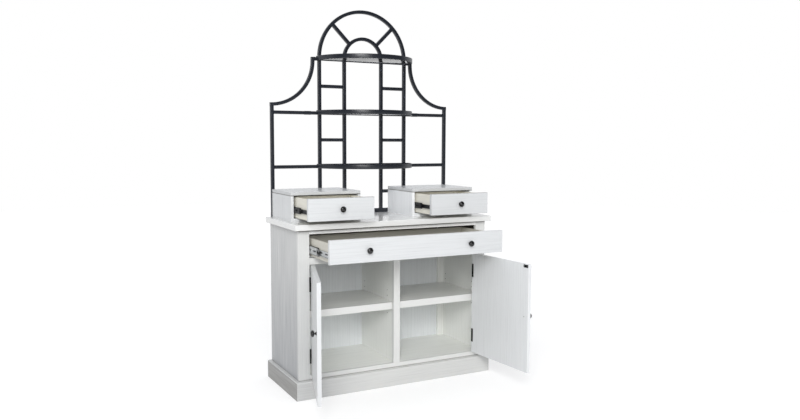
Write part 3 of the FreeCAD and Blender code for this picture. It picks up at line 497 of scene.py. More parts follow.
# ------------------------------------------------------------------ the frame's own shapes
def solids_of(node):
    """Joined points of a node, its triangles, and the solid that each point belongs to.

    Points that share a place are one; a face gives all its points the lowest label among them
    until no label changes.
    """
    mesh = NODES[node].data
    points = np.empty(len(mesh.vertices) * 3, np.float32)
    mesh.vertices.foreach_get("co", points)
    points, same = np.unique(np.round(points.reshape(-1, 3), 5), axis=0, return_inverse=True)
    mesh.calc_loop_triangles()
    corners = np.empty(len(mesh.loop_triangles) * 3, np.int32)
    mesh.loop_triangles.foreach_get("vertices", corners)
    corners = same.reshape(-1)[corners].reshape(-1, 3)
    label = np.arange(len(points))
    while True:
        lowest = label[corners].min(axis=1)
        after = label.copy()
        for column in range(3):
            np.minimum.at(after, corners[:, column], lowest)
        if np.array_equal(after, label):
            return points, corners, label
        label = after


def solid_boxes(node):
    """Lowest and highest corners of each separate solid of a node, sorted by x then z."""
    points, _, label = solids_of(node)
    boxes = [(points[label == one].min(axis=0), points[label == one].max(axis=0))
             for one in np.unique(label)]
    return sorted(boxes, key=lambda box: (round(float(box[0][0]), 4), round(float(box[0][2]), 4)))


def copied_solids(node, wanted):
    """A form with copies of the solids of a node whose box passes a test."""
    points, corners, label = solids_of(node)
    kept = [one for one in np.unique(label)
            if wanted(points[label == one].min(axis=0), points[label == one].max(axis=0))]
    corners = corners[np.isin(label[corners[:, 0]], kept)]
    used, corners = np.unique(corners, return_inverse=True)
    return Form(points[used], corners.reshape(-1, 3).tolist())


def box_of(node):
    """Lowest and highest corner of a node, as arrays."""
    return [np.array(corner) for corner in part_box(node)]


def middle_of(box):
    return (box[0] + box[1]) / 2


def spin(angle):
    """Rotation about Z."""
    return np.array([[math.cos(angle), -math.sin(angle), 0],
                     [math.sin(angle), math.cos(angle), 0], [0, 0, 1]])


def turned_open(joint_name):
    """Rotation and pivot that take a closed door to its place at rest."""
    joint = JOINTS[joint_name]
    turn = spin(math.radians(-joint["range_deg"][0]) * joint["axis"][2])
    return turn, np.array(joint["pos_m"])


# ------------------------------------------------------------------ forms
class Form:
    """Points and faces of one or more closed skins."""

    def __init__(self, points, faces):
        self.points = np.asarray(points, float).reshape(-1, 3)
        self.faces = faces

    def __add__(self, other):
        shifted = [[corner + len(self.points) for corner in face] for face in other.faces]
        return Form(np.vstack((self.points, other.points)), self.faces + shifted)

    def moved(self, offset):
        return Form(self.points + np.asarray(offset), self.faces)

    def swung(self, turn, pivot):
        """Turned about a pivot by a rotation matrix."""
        return Form((self.points - pivot) @ turn.T + pivot, self.faces)

    def flipped(self):
        """The same points with the faces turned round."""
        return Form(self.points, [face[::-1] for face in self.faces])

    def mirrored(self):
        """The same form on the other side of x = 0, its faces turned round to stay outside."""
        return Form(self.points * (-1, 1, 1), self.faces).flipped()

    def aimed(self, axis):
        """Its own +Z turned to point along an axis."""
        along = np.asarray(axis, float)
        side = np.cross(along, (0, 0, 1) if abs(along[2]) < 0.9 else (1, 0, 0))
        side /= np.linalg.norm(side)
        return Form(self.points @ np.array([side, np.cross(along, side), along]), self.faces)


def joined(forms):
    """One form of a list of forms."""
    total, *others = forms
    for form in others:
        total = total + form
    return total


def circle(angle):
    """(cos t, sin t) for each angle t."""
    return np.stack((np.cos(angle), np.sin(angle)), axis=-1)


def ring_faces(rings, around):
    """Quads between rings of points that go round: ring i, point j joins ring i+1, point j+1."""
    row, column = np.meshgrid(np.arange(rings - 1) * around, np.arange(around), indexing="ij")
    right = (column + 1) % around
    quads = np.stack((row + column, row + right, row + around + right, row + around + column),
                     axis=-1)
    return quads.reshape(-1, 4).tolist()


def capped(rings):
    """A skin over rings of points, with a flat face at each end."""
    count, around = rings.shape[:2]
    last = (count - 1) * around
    ends = [list(range(around))[::-1], list(range(last, last + around))]
    return Form(rings, ring_faces(count, around) + ends)


def swept(section, path, across, up):
    """A section carried along a path: each ring is path + u * across + v * up.

    across and up are one direction for the whole path, or one at each of its points.
    """
    across, up = (np.broadcast_to(way, path.shape)[:, None] for way in (across, up))
    return capped(path[:, None] + section[:, :1] * across + section[:, 1:] * up)


def turned(profile, segments):
    """A profile of (radius, height) spun round Z; it starts and ends on the axis.

    Each ring is (r cos t, r sin t, h) for t round the circle, and the two ends are poles.
    """
    inner = np.asarray(profile, float)[1:-1]
    angle = np.linspace(0, 2 * math.pi, segments, endpoint=False)
    rings = np.stack((inner[:, :1] * np.cos(angle), inner[:, :1] * np.sin(angle),
                      np.broadcast_to(inner[:, 1:], (len(inner), segments))), axis=-1)
    faces = ring_faces(len(inner), segments)
    count = len(inner) * segments
    points = np.vstack((rings.reshape(-1, 3), [(0, 0, profile[0][1]), (0, 0, profile[-1][1])]))
    top = count - segments
    faces += [[(j + 1) % segments, j, count] for j in range(segments)]
    faces += [[top + j, top + (j + 1) % segments, count + 1] for j in range(segments)]
    return Form(points, faces)


def rounded_rectangle(width, height, radius, steps=4):
    """Corners of a rectangle as quarter circles, anticlockwise."""
    angle = np.linspace(0, math.pi / 2, steps + 1)
    parts = []
    for turn, (x, y) in enumerate(((1, 1), (-1, 1), (-1, -1), (1, -1))):
        centre = np.array((x * (width / 2 - radius), y * (height / 2 - radius)))
        parts.append(centre + radius * circle(angle + turn * math.pi / 2))
    return np.vstack(parts)


def eased_block(low, high, radius, axis=2):
    """A bar with rounded long edges between two corners, its section swept along one axis."""
    low, high = np.asarray(low, float), np.asarray(high, float)
    others = [a for a in range(3) if a != axis]
    section = rounded_rectangle(*(high - low)[others], radius, 3)
    path = np.tile((low + high) / 2, (2, 1))
    path[:, axis] = (low[axis], high[axis])
    form = swept(section, path, *np.eye(3)[others])
    return form.flipped() if axis == 1 else form


def plate(outline, low, high, ease):
    """A flat plate with quarter-round edges: the outline drawn in by ease * (1 - sin t)."""
    tangent = np.roll(outline, -1, axis=0) - np.roll(outline, 1, axis=0)
    inward = np.stack((-tangent[:, 1], tangent[:, 0]), axis=1)
    inward /= np.linalg.norm(inward, axis=1)[:, None]
    inset, rise = (ease * (1 - circle(np.linspace(0, math.pi / 2, 4)))).T[::-1]
    depths = np.concatenate((inset, inset[::-1]))
    heights = np.concatenate((low + rise, high - rise[::-1]))
    rings = [np.column_stack((outline + inward * depth, np.full(len(outline), height)))
             for depth, height in zip(depths, heights)]
    return capped(np.array(rings))


CREASE = 35                          # degrees past which a smooth piece shows an edge
BOARD_CREASE = 40                    # degrees past which a CAD solid's edge is eased
WELD = 0.01 * MM


def placed(name, data):
    """A new object in the scene."""
    made = bpy.data.objects.new(name, data)
    bpy.context.scene.collection.objects.link(made)
    return made


def add_piece(name, form, finish, body="cabinet", stands_for=(), smooth=True):
    """Make the object of a form; it rides on a body and may stand for CAD nodes."""
    mesh = bpy.data.meshes.new(name)
    mesh.from_pydata(form.points.tolist(), [], form.faces)
    mesh.polygons.foreach_set("use_smooth", [smooth] * len(mesh.polygons))
    if smooth:
        mesh.set_sharp_from_angle(angle=math.radians(CREASE))
    mesh.materials.append(FINISHES[finish])
    piece = placed(name, mesh)
    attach(piece, body)
    if stands_for:
        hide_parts(*stands_for)
    return piece


def ease_edges(holder, edge):
    """Join the corners that share a place and round the sharp edges."""
    weld = holder.modifiers.new("joined", "WELD")
    weld.merge_threshold = WELD
    bevel = holder.modifiers.new("eased", "BEVEL")
    bevel.width = edge
    bevel.segments = 2
    bevel.limit_method = "ANGLE"
    bevel.angle_limit = math.radians(BOARD_CREASE)
    bevel.harden_normals = True


def dress_node(node, finish, edge):
    """Give a CAD node its finish and ease its edges."""
    holder = NODES[node]
    holder.data.materials.clear()
    holder.data.materials.append(FINISHES[finish])
    ease_edges(holder, edge)


# ------------------------------------------------------------------ painted boards
BOARDS = {
    "top": "tabletop",
    "side": "side_panel_left side_panel_right",
    "paint_z": "front_stiles centre_stile",
    "rails": "face_frame_rails",
    "cupboard_z": "partition",
    "cupboard_x": "floor_panel stretchers",
    "shelf": "cabinet_shelf_left cabinet_shelf_right",
    "rear_frame": "rear_frame",
    "back": "back_panel",
    "plinth": "plinth_boards",
    "inside": "plinth_blocks slide_cleats",
    "front_z": "left_box_case left_door_panel",
    "right_case": "right_box_case",
    "right_door": "right_door_panel",
    "lid": "left_box_top right_box_top",
    "front_x": "wide_drawer_front left_drawer_front right_drawer_front",
    "wide_drawer": "wide_drawer_box",
    "drawer_y": "left_drawer_box right_drawer_box",
}


class RACK_OT_boards(Operator):
    """Paint the boards along their grain and ease their edges"""
    bl_idname = "rack.boards"
    bl_label = "Painted Boards"

    def execute(self, context):
        for finish, nodes in BOARDS.items():
            for node in nodes.split():
                dress_node(node, finish, context.scene.rack_boards.edge)
        return {"FINISHED"}


# ------------------------------------------------------------------ steel hutch
BEAD_REACH = 2.5 * MM                # length of a weld bead along the tube
BEAD_WIDTH = 3 * MM                  # how much wider than the tube a bead starts
SLEEVE_START = 46 * MM               # from the inner end of the wing rail
SLEEVE_LENGTH = 34 * MM
SLEEVE_PROUD = 1.0 * MM
FLUSH = 0.2 * MM                     # keeps a face just inside its neighbour's
BEAD_CORNER = 1.5 * MM


def steel_piece(name, form, *nodes):
    add_piece(name, form, "steel", stands_for=nodes)


def straight_tube(box, corner):
    """A square tube that fills a box, its section swept along the box's longest side."""
    low, high = box
    return eased_block(low, high, corner, int(np.argmax(high - low)))


def upright_arc(centre, radius, angle):
    """centre + radius * (cos t, 0, sin t)."""
    return centre + radius * np.insert(circle(angle), 1, 0, axis=1)


def square_tube(path, across, tube, corner):
    return swept(rounded_rectangle(tube, tube, corner), path, -across, DEEP)


def across_path(path):
    """Unit vectors across an upright path, in its plane."""
    tangent = np.gradient(path, axis=0)
    tangent /= np.linalg.norm(tangent, axis=1)[:, None]
    return np.cross(tangent, DEEP)


def arch_tube(node, corner, steps):
    """Post, half circle, post: x = R cos t and z = spring + R sin t between two straight legs."""
    low, high = box_of(node)
    tube = high[1] - low[1]
    radius = high[0] - tube / 2
    y_middle = (low[1] + high[1]) / 2
    bow = upright_arc((0, y_middle, high[2] - high[0]), radius, np.linspace(0, math.pi, steps + 1))
    foot = np.array([(radius, y_middle, low[2])])
    path = np.vstack((foot, bow, foot * (-1, 1, 1)))
    across = across_path(path)
    across[:2], across[-2:] = (1, 0, 0), (-1, 0, 0)
    return square_tube(path, across, tube, corner)


def brace_tube(box, corner, cap, steps):
    """Short riser, then a quarter circle centred beyond the outer post, with flat end caps."""
    low, high = box
    tube = high[1] - low[1]
    centre = np.array((high[0] - cap, (low[1] + high[1]) / 2, high[2] - tube))
    bend = upright_arc(centre, high[2] - low[2] - 1.5 * tube,
                       np.linspace(math.pi, 1.5 * math.pi, steps // 2 + 1))
    path = np.vstack((bend[:1] + (0, 0, tube - cap), bend, bend[-1:] + (cap, 0, 0)))
    across = across_path(path)
    across[0] = across[1]
    top = eased_block(bend[0] + (-tube / 2, -tube / 2, tube - cap),
                      bend[0] + (tube / 2, tube / 2, tube), corner, 2)
    return square_tube(path, across, tube, corner) + top


def weld_bead(foot, outward, width, depth):
    """A fillet of weld at a tube's end, ground flush with the tube's front and rear.

    Rounded rectangles whose width falls from 3 mm over the tube's to the tube's own along a
    quarter circle.
    """
    outward = np.asarray(outward, float)
    across = np.cross(DEEP, outward)
    rings = []
    for turn in np.linspace(0, math.pi / 2, 5):
        section = rounded_rectangle(width + BEAD_WIDTH * (1 - math.sin(turn)) + 0.1 * MM,
                                    depth - 0.3 * MM, BEAD_CORNER)
        rings.append(np.asarray(foot) + outward * BEAD_REACH * (1 - math.cos(turn))
                     + section[:, :1] * across + section[:, 1:] * DEEP)
    return capped(np.array(rings))


def bead_pair(box):
    """Weld beads at both ends of a level tube that fills a box."""
    low, high = box
    middle = middle_of(box)
    return [weld_bead((end[0], middle[1], middle[2]), (towards, 0, 0), high[2] - low[2],
                      high[1] - low[1]) for end, towards in ((low, 1), (high, -1))]


class RACK_OT_hutch(Operator):
    """Bend and join the square tubes of the hutch"""
    bl_idname = "rack.hutch"
    bl_label = "Steel Hutch"

    def execute(self, context):
        steel = context.scene.rack_steel
        for part in ("outer_arch", "inner_arch"):
            steel_piece(part + "_tube", arch_tube("hutch_" + part, steel.corner, steel.steps),
                        "hutch_" + part)
        for part, welded in (("base_rail", False), ("outer_posts", False), ("rungs", True),
                             ("wing_rails", True)):
            boxes = solid_boxes("hutch_" + part)
            forms = [straight_tube(box, steel.corner) for box in boxes]
            if welded:
                forms += [bead for box in boxes for bead in bead_pair(box)]
            steel_piece(part + "_tubes", joined(forms), "hutch_" + part)
        self.sleeves()
        brace = brace_tube(box_of("hutch_wing_braces"), steel.corner, steel.cap, steel.steps)
        steel_piece("wing_brace_tubes", brace + brace.mirrored(), "hutch_wing_braces")
        spoke = self.spoke(steel.corner)
        steel_piece("spoke_tubes", spoke + spoke.mirrored(), "hutch_spokes")
        return {"FINISHED"}

    def sleeves(self):
        """Short sleeves where the middle wing rails are jointed near the outer arch."""
        height = middle_of(box_of("shelf_rim_middle"))[2]
        low, high = next(box for box in solid_boxes("hutch_wing_rails")
                         if abs(middle_of(box)[2] - height) < 30 * MM and box[0][0] > 0)
        near = low[0] + SLEEVE_START
        sleeve = eased_block((near, low[1] + FLUSH, low[2] - SLEEVE_PROUD),
                             (near + SLEEVE_LENGTH, high[1] - FLUSH, high[2] + SLEEVE_PROUD),
                             2 * MM, 0)
        steel_piece("wing_rail_sleeves", sleeve + sleeve.mirrored())

    def spoke(self, corner):
        """A straight tube at 45 degrees between the arches, let into them by the corner."""
        outer = box_of("hutch_outer_arch")[1]
        inner = box_of("hutch_inner_arch")[1]
        low, high = box_of("hutch_spokes")
        tube = high[1] - low[1]
        spring = np.array((0, (low[1] + high[1]) / 2, outer[2] - outer[0]))
        reach = np.array([[inner[0] - corner], [outer[0] - tube + corner]])
        path = spring + np.array((1, 0, 1)) / math.sqrt(2) * reach
        return square_tube(path, np.array((-1, 0, 1)) / math.sqrt(2), tube, corner)


# ------------------------------------------------------------------ bow-fronted shelves
LEVELS = ("lower", "middle", "upper")
RIM_EASE = 0.9 * MM
TAB = 3 * MM                         # thickness of a tab
TAB_EASE = GLASS_EASE = 0.8 * MM
BITE = 0.5 * MM                      # how far a tab is let into its bar


def bow_arc(node, count):
    """Centre and radius of the circle through a bow's front point and its two rear ends, and
    angles along it; the radius is (half squared + depth squared) / (2 depth)."""
    low, high = box_of(node)
    depth = high[1] - low[1]
    radius = (high[0] ** 2 + depth ** 2) / (2 * depth)
    centre = np.array((0, low[1] + radius))
    start = math.asin((high[1] - centre[1]) / radius)
    return centre, radius, np.linspace(math.pi - start, 2 * math.pi + start, count)


def rim_form(node, steel):
    """A flat bar bent to a bow, a straight bar across its rear, and tabs under the glass."""
    low, high = box_of(node)
    centre, radius, angle = bow_arc(node, steel.steps + 1)
    inner = radius - steel.bar
    around = circle(angle)
    path = np.insert(centre + (radius - steel.bar / 2) * around, 2, (low[2] + high[2]) / 2, axis=1)
    section = rounded_rectangle(steel.bar, high[2] - low[2], RIM_EASE, 3)
    form = swept(section, path, np.insert(around, 2, 0, axis=1), np.array((0.0, 0.0, 1.0)))
    reach = math.sqrt(inner ** 2 - (high[1] - centre[1]) ** 2)
    rear = high[1] - steel.bar
    form += eased_block((-reach, rear, low[2]), (reach, high[1], high[2]), RIM_EASE, 0)
    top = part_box(node.replace("shelf_rim", "glass_shelf"))[0][2]
    half = steel.tab_width / 2
    tab = eased_block((inner - steel.tab_reach, -half, top - TAB), (inner + BITE, half, top),
                      TAB_EASE, 1)
    for degrees in range(-150, -29, 30):
        form += tab.swung(spin(math.radians(degrees)), np.zeros(3)).moved((*centre, 0))
    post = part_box("hutch_inner_arch")[1][0]
    for x in (-post, post):
        form += eased_block((x - half, rear - steel.tab_reach, top - TAB),
                            (x + half, rear + BITE, top), TAB_EASE, 0)
    return form


def glass_form(node, steps):
    """A circle cut off by a straight rear edge, made a plate with polished edges."""
    centre, radius, angle = bow_arc(node, steps * 2)
    low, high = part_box(node)
    return plate(centre + radius * circle(angle), low[2], high[2], GLASS_EASE)


class RACK_OT_shelves(Operator):
    """Bend the shelf rims and lay the glass in them"""
    bl_idname = "rack.shelves"
    bl_label = "Glass Shelves"

    def execute(self, context):
        steel = context.scene.rack_steel
        for level in LEVELS:
            rim, glass = "shelf_rim_" + level, "glass_shelf_" + level
            steel_piece(level + "_rim", rim_form(rim, steel), rim)
            add_piece(level + "_glass", glass_form(glass, steel.steps), "glass",
                      stands_for=[glass])
        return {"FINISHED"}


# ------------------------------------------------------------------ knobs and drawer hardware
def knob_form(hardware):
    """A turned knob towards the front: flared foot, waist, and a head with a crowned face.

    A flared foot narrows to the waist, a quarter of an ellipse opens from there to the rim, and
    the face is a quarter of a flatter ellipse, set in by a small step.
    """
    radius = hardware.knob_radius
    length = hardware.knob_length
    foot, waist = 0.56 * radius, 0.29 * radius
    rise = np.linspace(0, 1, 9)
    flare = np.stack((waist + (foot - waist) * (1 - rise) ** 2.4,
                      (0.05 + 0.29 * rise) * length), 1)
    turn = np.linspace(0, math.pi / 2, 10)
    cup = np.stack((waist + (radius - waist) * np.sin(turn),
                    (0.36 + 0.26 * (1 - np.cos(turn))) * length), 1)
    face = 0.96 * radius
    crown = np.stack((face * np.cos(turn), (0.66 + 0.34 * np.sin(turn)) * length), 1)
    crown[-1, 0] = 0
    rim = np.array([(radius, 0.635 * length), (0.99 * radius, 0.648 * length),
                    (face, 0.652 * length)])
    skirt = np.array([(0, 0), (foot * 0.97, 0), (foot, 0.02 * length)])
    return turned(np.vstack((skirt, flare, cup, rim, crown)), hardware.segments).aimed(-DEEP)


SCREWS = {                           # radius and height of each head, in millimetres
    "slide": (3.4, 1.6), "knob": (4.2, 2.2), "leaf": (2.6, 0.15), "door knob": (3.6, 1.8),
    "strike": (2.3, 0.2), "back panel": (3.2, 0.8), "rim bolt": (4.2, 2.6),
}


def screw_form(kind, axis):
    """A round-headed screw: a quarter ellipse spun round its axis, with a small flat rim."""
    radius, height = (size * MM for size in SCREWS[kind])
    turn = np.linspace(0, math.pi / 2, 7)
    dome = (0, 0.25 * height) + circle(turn) * (radius, 0.75 * height)
    dome[-1, 0] = 0
    return turned(np.vstack(((0, 0), (radius, 0), dome)), 24).aimed(axis)


WEB = 1.2 * MM                       # thickness of a slide member's sheet
SLIDE_EASE = 0.4 * MM
CAGE_EASE = 0.3 * MM
STRIP = 0.4 * MM                     # thickness of the strip behind a member's slots
STRIP_GAP = 0.05 * MM                # between the strip and the member's outer face
STRIP_ENDS = (4 * MM, 5 * MM)        # its distance from the member's ends and edges
STOP_OUTLINE = ((7, -1), (7, 1), (1, 1), (-3, 0.5), (-8, 0.16), (-8, -0.16), (-3, -0.5), (1, -1))
STOP_PLACE = 6.6 * MM                # from the middle member's front end


def slide_stop(box, side):
    """The black end of a slide's ball cage: a pointed plate at the middle member's front end.

    Its outline is a strip whose front edge is drawn forward to a blunt point, 1.4 mm ahead of the
    member, which clears the drawer's front when it is shut.  It is as thick as the member's web and
    a little proud of it.
    """
    low, high = box
    half = (high[2] - low[2]) / 2 - FLUSH
    form = plate(np.array(STOP_OUTLINE) * (MM, half), -0.4 * MM, WEB, 0.3 * MM)
    form = Form(form.points[:, (2, 0, 1)] * (-side, 1, 1), form.faces)
    web = low[0] if side < 0 else high[0]
    return (form if side < 0 else form.flipped()).moved(
        (web, low[1] + STOP_PLACE, (low[2] + high[2]) / 2))


def slide_screws(box, side, places):
    """Pan-head screws through a drawer member's web, at distances from its front end."""
    low, high = box
    web = high[0] - WEB if side < 0 else low[0] + WEB
    screw = screw_form("slide", (side, 0, 0))
    return joined([screw.moved((web, low[1] + place * MM, (low[2] + high[2]) / 2))
                   for place in places])


def slide_back(box, side):
    """A dark strip in a drawer member's web, seen through its slots."""
    low, high = box
    near = high[0] - STRIP - STRIP_GAP if side < 0 else low[0] + STRIP_GAP
    along, edge = STRIP_ENDS
    return eased_block((near, low[1] + along, low[2] + edge),
                       (near + STRIP, high[1] - along, high[2] - edge), 0.15 * MM, 1)


def knob_foot(box):
    """Where a drawer knob stands: the middle of the rear of its box."""
    middle = middle_of(box)
    return middle[0], box[1][1], middle[2]


class RACK_OT_drawers(Operator):
    """Fit knobs and slides to the drawers"""
    bl_idname = "rack.drawers"
    bl_label = "Drawer Hardware"

    def execute(self, context):
        knob = knob_form(context.scene.rack_hardware)
        self.knobs("wide_drawer_turned_knobs", "wide", knob, "wide_drawer_knobs",
                   solid_boxes("wide_drawer_knobs"))
        for name, _ in SIDES:
            node = name + "_drawer_knob_and_slides"
            left, middle, right = solid_boxes(node)
            self.knobs(name + "_drawer_turned_knob", name, knob, node, [middle])
            members = copied_solids(node, lambda low, high: high[1] - low[1] > 0.1)
            piece = add_piece(name + "_drawer_slides", members, "black_slide", name + "_drawer",
                              [node], smooth=False)
            ease_edges(piece, SLIDE_EASE)
            self.webs(name, (left, right), (12, 76), "black", "black_slide")
            self.stops(name)
        self.stops("wide")
        self.webs("wide", solid_boxes("wide_slide_drawer_members"), (13, 79, 150), "zinc",
                  "black_plastic")
        for finish, nodes in (("zinc", ("wide_slide_cabinet_members", "wide_slide_middle_members",
                                        "wide_slide_drawer_members")),
                              ("black_slide", ("small_slide_box_members",
                                               "left_slide_middle_members",
                                               "right_slide_middle_members"))):
            for node in nodes:
                dress_node(node, finish, SLIDE_EASE)
        dress_node("wide_slide_ball_cages", "black_plastic", CAGE_EASE)
        return {"FINISHED"}

    def knobs(self, title, name, knob, node, boxes):
        """A drawer's knobs, and their screw heads inside the drawer box's front board."""
        feet = [knob_foot(box) for box in boxes]
        add_piece(title, joined([knob.moved(foot) for foot in feet]), "black", name + "_drawer",
                  [node])
        front = min((box for box in solid_boxes(name + "_drawer_box")
                     if box[1][2] - box[0][2] > 30 * MM), key=lambda box: box[1][1])
        screw = screw_form("knob", DEEP)
        form = joined([screw.moved((foot[0], front[1][1], foot[2])) for foot in feet])
        add_piece(name + "_drawer_knob_screws", form, "zinc", name + "_drawer")

    def webs(self, name, boxes, places, screw_finish, back_finish):
        """Screws through both drawer members, and the dark strips behind their slots."""
        sides = list(zip(boxes, (-1, 1)))
        screws = joined([slide_screws(box, side, places) for box, side in sides])
        add_piece(name + "_drawer_slide_screws", screws, screw_finish, name + "_drawer")
        backs = joined([slide_back(box, side) for box, side in sides])
        add_piece(name + "_drawer_slide_backs", backs, back_finish, name + "_drawer")

    def stops(self, name):
        """The black ends of both ball cages of a pair of slides."""
        members = [box for box in solid_boxes(name + "_slide_middle_members")
                   if box[1][2] - box[0][2] > 20 * MM]
        form = joined([slide_stop(box, side) for box, side in zip(members, (-1, 1))])
        add_piece(name + "_slide_stops", form, "black_plastic", name + "_slide_middle")


# ------------------------------------------------------------------ doors and hinges
PIN_GAP = 1.0 * MM                   # from the pin to the middle of a closed leaf
KNUCKLE_GAP = 0.3 * MM
KNUCKLE_EASE = PLATE_EASE = 0.4 * MM
LEAF_EASE = 0.5 * MM
WRAP = (-0.3 * MM, 1.0 * MM)         # a leaf's wrap, from the door's inner face
SCREW_DROP = 10.5 * MM               # a strike's screws from the door's top
STRIKE = 1.2 * MM                    # thickness of a strike plate
STRIKE_SPAN = (3 * MM, 37 * MM)      # from the door's free edge
STRIKE_DROP = (18 * MM, 3 * MM)      # from the door's top


def leaf_form(hardware, pin, low, high, bands, offset, y_leaf):
    """A hinge leaf on one side of the pin, with its knuckles; offset is -1 on the door."""
    outer = pin[0] + offset * (PIN_GAP + hardware.leaf / 2)
    x_low, x_high = sorted((outer, outer - offset * hardware.leaf))
    form = eased_block((x_low, y_leaf[0], low), (x_high, y_leaf[1], high), LEAF_EASE, 2)
    head = screw_form("leaf", (-offset, 0, 0))
    for share in (1 / 6, 1 / 2, 5 / 6):
        form += head.moved((outer - offset * hardware.leaf, (y_leaf[0] + y_leaf[1]) / 2,
                            low + share * (high - low)))
    full, drawn = hardware.barrel, hardware.barrel - KNUCKLE_EASE
    for start, end in bands:
        form += eased_block((x_low, pin[1], start), (x_high, y_leaf[0] + 1 * MM, end), 0.3 * MM, 2)
        length = end - start
        barrel = turned([(0, 0), (drawn, 0), (full, KNUCKLE_EASE), (full, length - KNUCKLE_EASE),
                         (drawn, length), (0, length)], hardware.segments)
        form += barrel.moved((pin[0], pin[1], start))
    return form


class RACK_OT_doors(Operator):
    """Hang the doors: hinges, knobs, strike plates and screws"""
    bl_idname = "rack.doors"
    bl_label = "Door Hardware"

    def execute(self, context):
        hardware = context.scene.rack_hardware
        pin = np.array(JOINTS["right_door_hinge"]["pos_m"])
        leaves = [box for box in solid_boxes("hinge_frame_leaves") if box[0][0] > 0]
        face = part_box("front_stiles")[0][1]
        y_leaf = (face, leaves[0][1][1])
        reach = float(pin[0]) - PIN_GAP - hardware.leaf / 2
        fixed, moving, wraps = [], [], []
        for low, high in ((float(box[0][2]), float(box[1][2])) for box in leaves):
            band = (high - low + KNUCKLE_GAP) / 3
            ends = [(low + n * band, low + (n + 1) * band - KNUCKLE_GAP) for n in range(3)]
            fixed.append(leaf_form(hardware, pin, low, high, ends[::2], 1, y_leaf))
            moving.append(leaf_form(hardware, pin, low, high, ends[1:2], -1, y_leaf))
            wraps.append(eased_block((reach - hardware.wrap, face + PANEL + WRAP[0], low),
                                     (reach + hardware.leaf, face + PANEL + WRAP[1], high),
                                     PLATE_EASE, 2))
        frame_form = joined(fixed)
        add_piece("frame_hinge_leaves", frame_form + frame_form.mirrored(), "hinge",
                  stands_for=["hinge_frame_leaves"])
        for name, side in SIDES:
            self.door(name, side, hardware, joined(moving + wraps), face)
        return {"FINISHED"}

    def door(self, name, side, hardware, leaves, face):
        """One door's hardware, made closed on the right and then mirrored and swung open."""
        node = name + "_door_fittings"
        knob_box = min(solid_boxes(node),
                       key=lambda box: abs(box[1][2] - box[0][2] - 2 * hardware.knob_radius))
        free_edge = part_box("centre_stile")[1][0] + 2 * MM
        foot = np.array((free_edge + hardware.knob_inset, face, middle_of(knob_box)[2]))
        inner = face + PANEL
        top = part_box(name + "_door_panel")[1][2]
        strike = eased_block((free_edge + STRIKE_SPAN[0], inner, top - STRIKE_DROP[0]),
                             (free_edge + STRIKE_SPAN[1], inner + STRIKE, top - STRIKE_DROP[1]),
                             PLATE_EASE, 1)
        plate_screw = screw_form("strike", DEEP)
        screws = [screw_form("door knob", DEEP).moved((foot[0], inner, foot[2]))]
        screws += [plate_screw.moved((free_edge + reach * MM, inner + STRIKE, top - SCREW_DROP))
                   for reach in (9, 31)]
        swing = turned_open(name + "_door_hinge")
        for title, form, finish in (("_door_turned_knob", knob_form(hardware).moved(foot), "black"),
                                    ("_door_leaves", leaves, "hinge"),
                                    ("_door_strike", strike, "hinge"),
                                    ("_door_screws", joined(screws), "zinc")):
            form = form if side > 0 else form.mirrored()
            add_piece(name + title, form.swung(*swing), finish, name + "_door",
                      [node] if finish != "zinc" else ())


# ------------------------------------------------------------------ small fittings
HOLE_DEPTH = 0.2 * MM                # thickness of the dark disc, painted shade, that shows a hole
HOLE_RISES = (-32, 32, 64, 96)       # millimetres over the row of pins
PIN_EASE = 0.8 * MM
CATCH_EASE = 0.5 * MM
BOLT_DROP = 7 * MM                   # a rim's bolts from its top
BACK_EDGE = 10 * MM                  # the back's screws from its edge


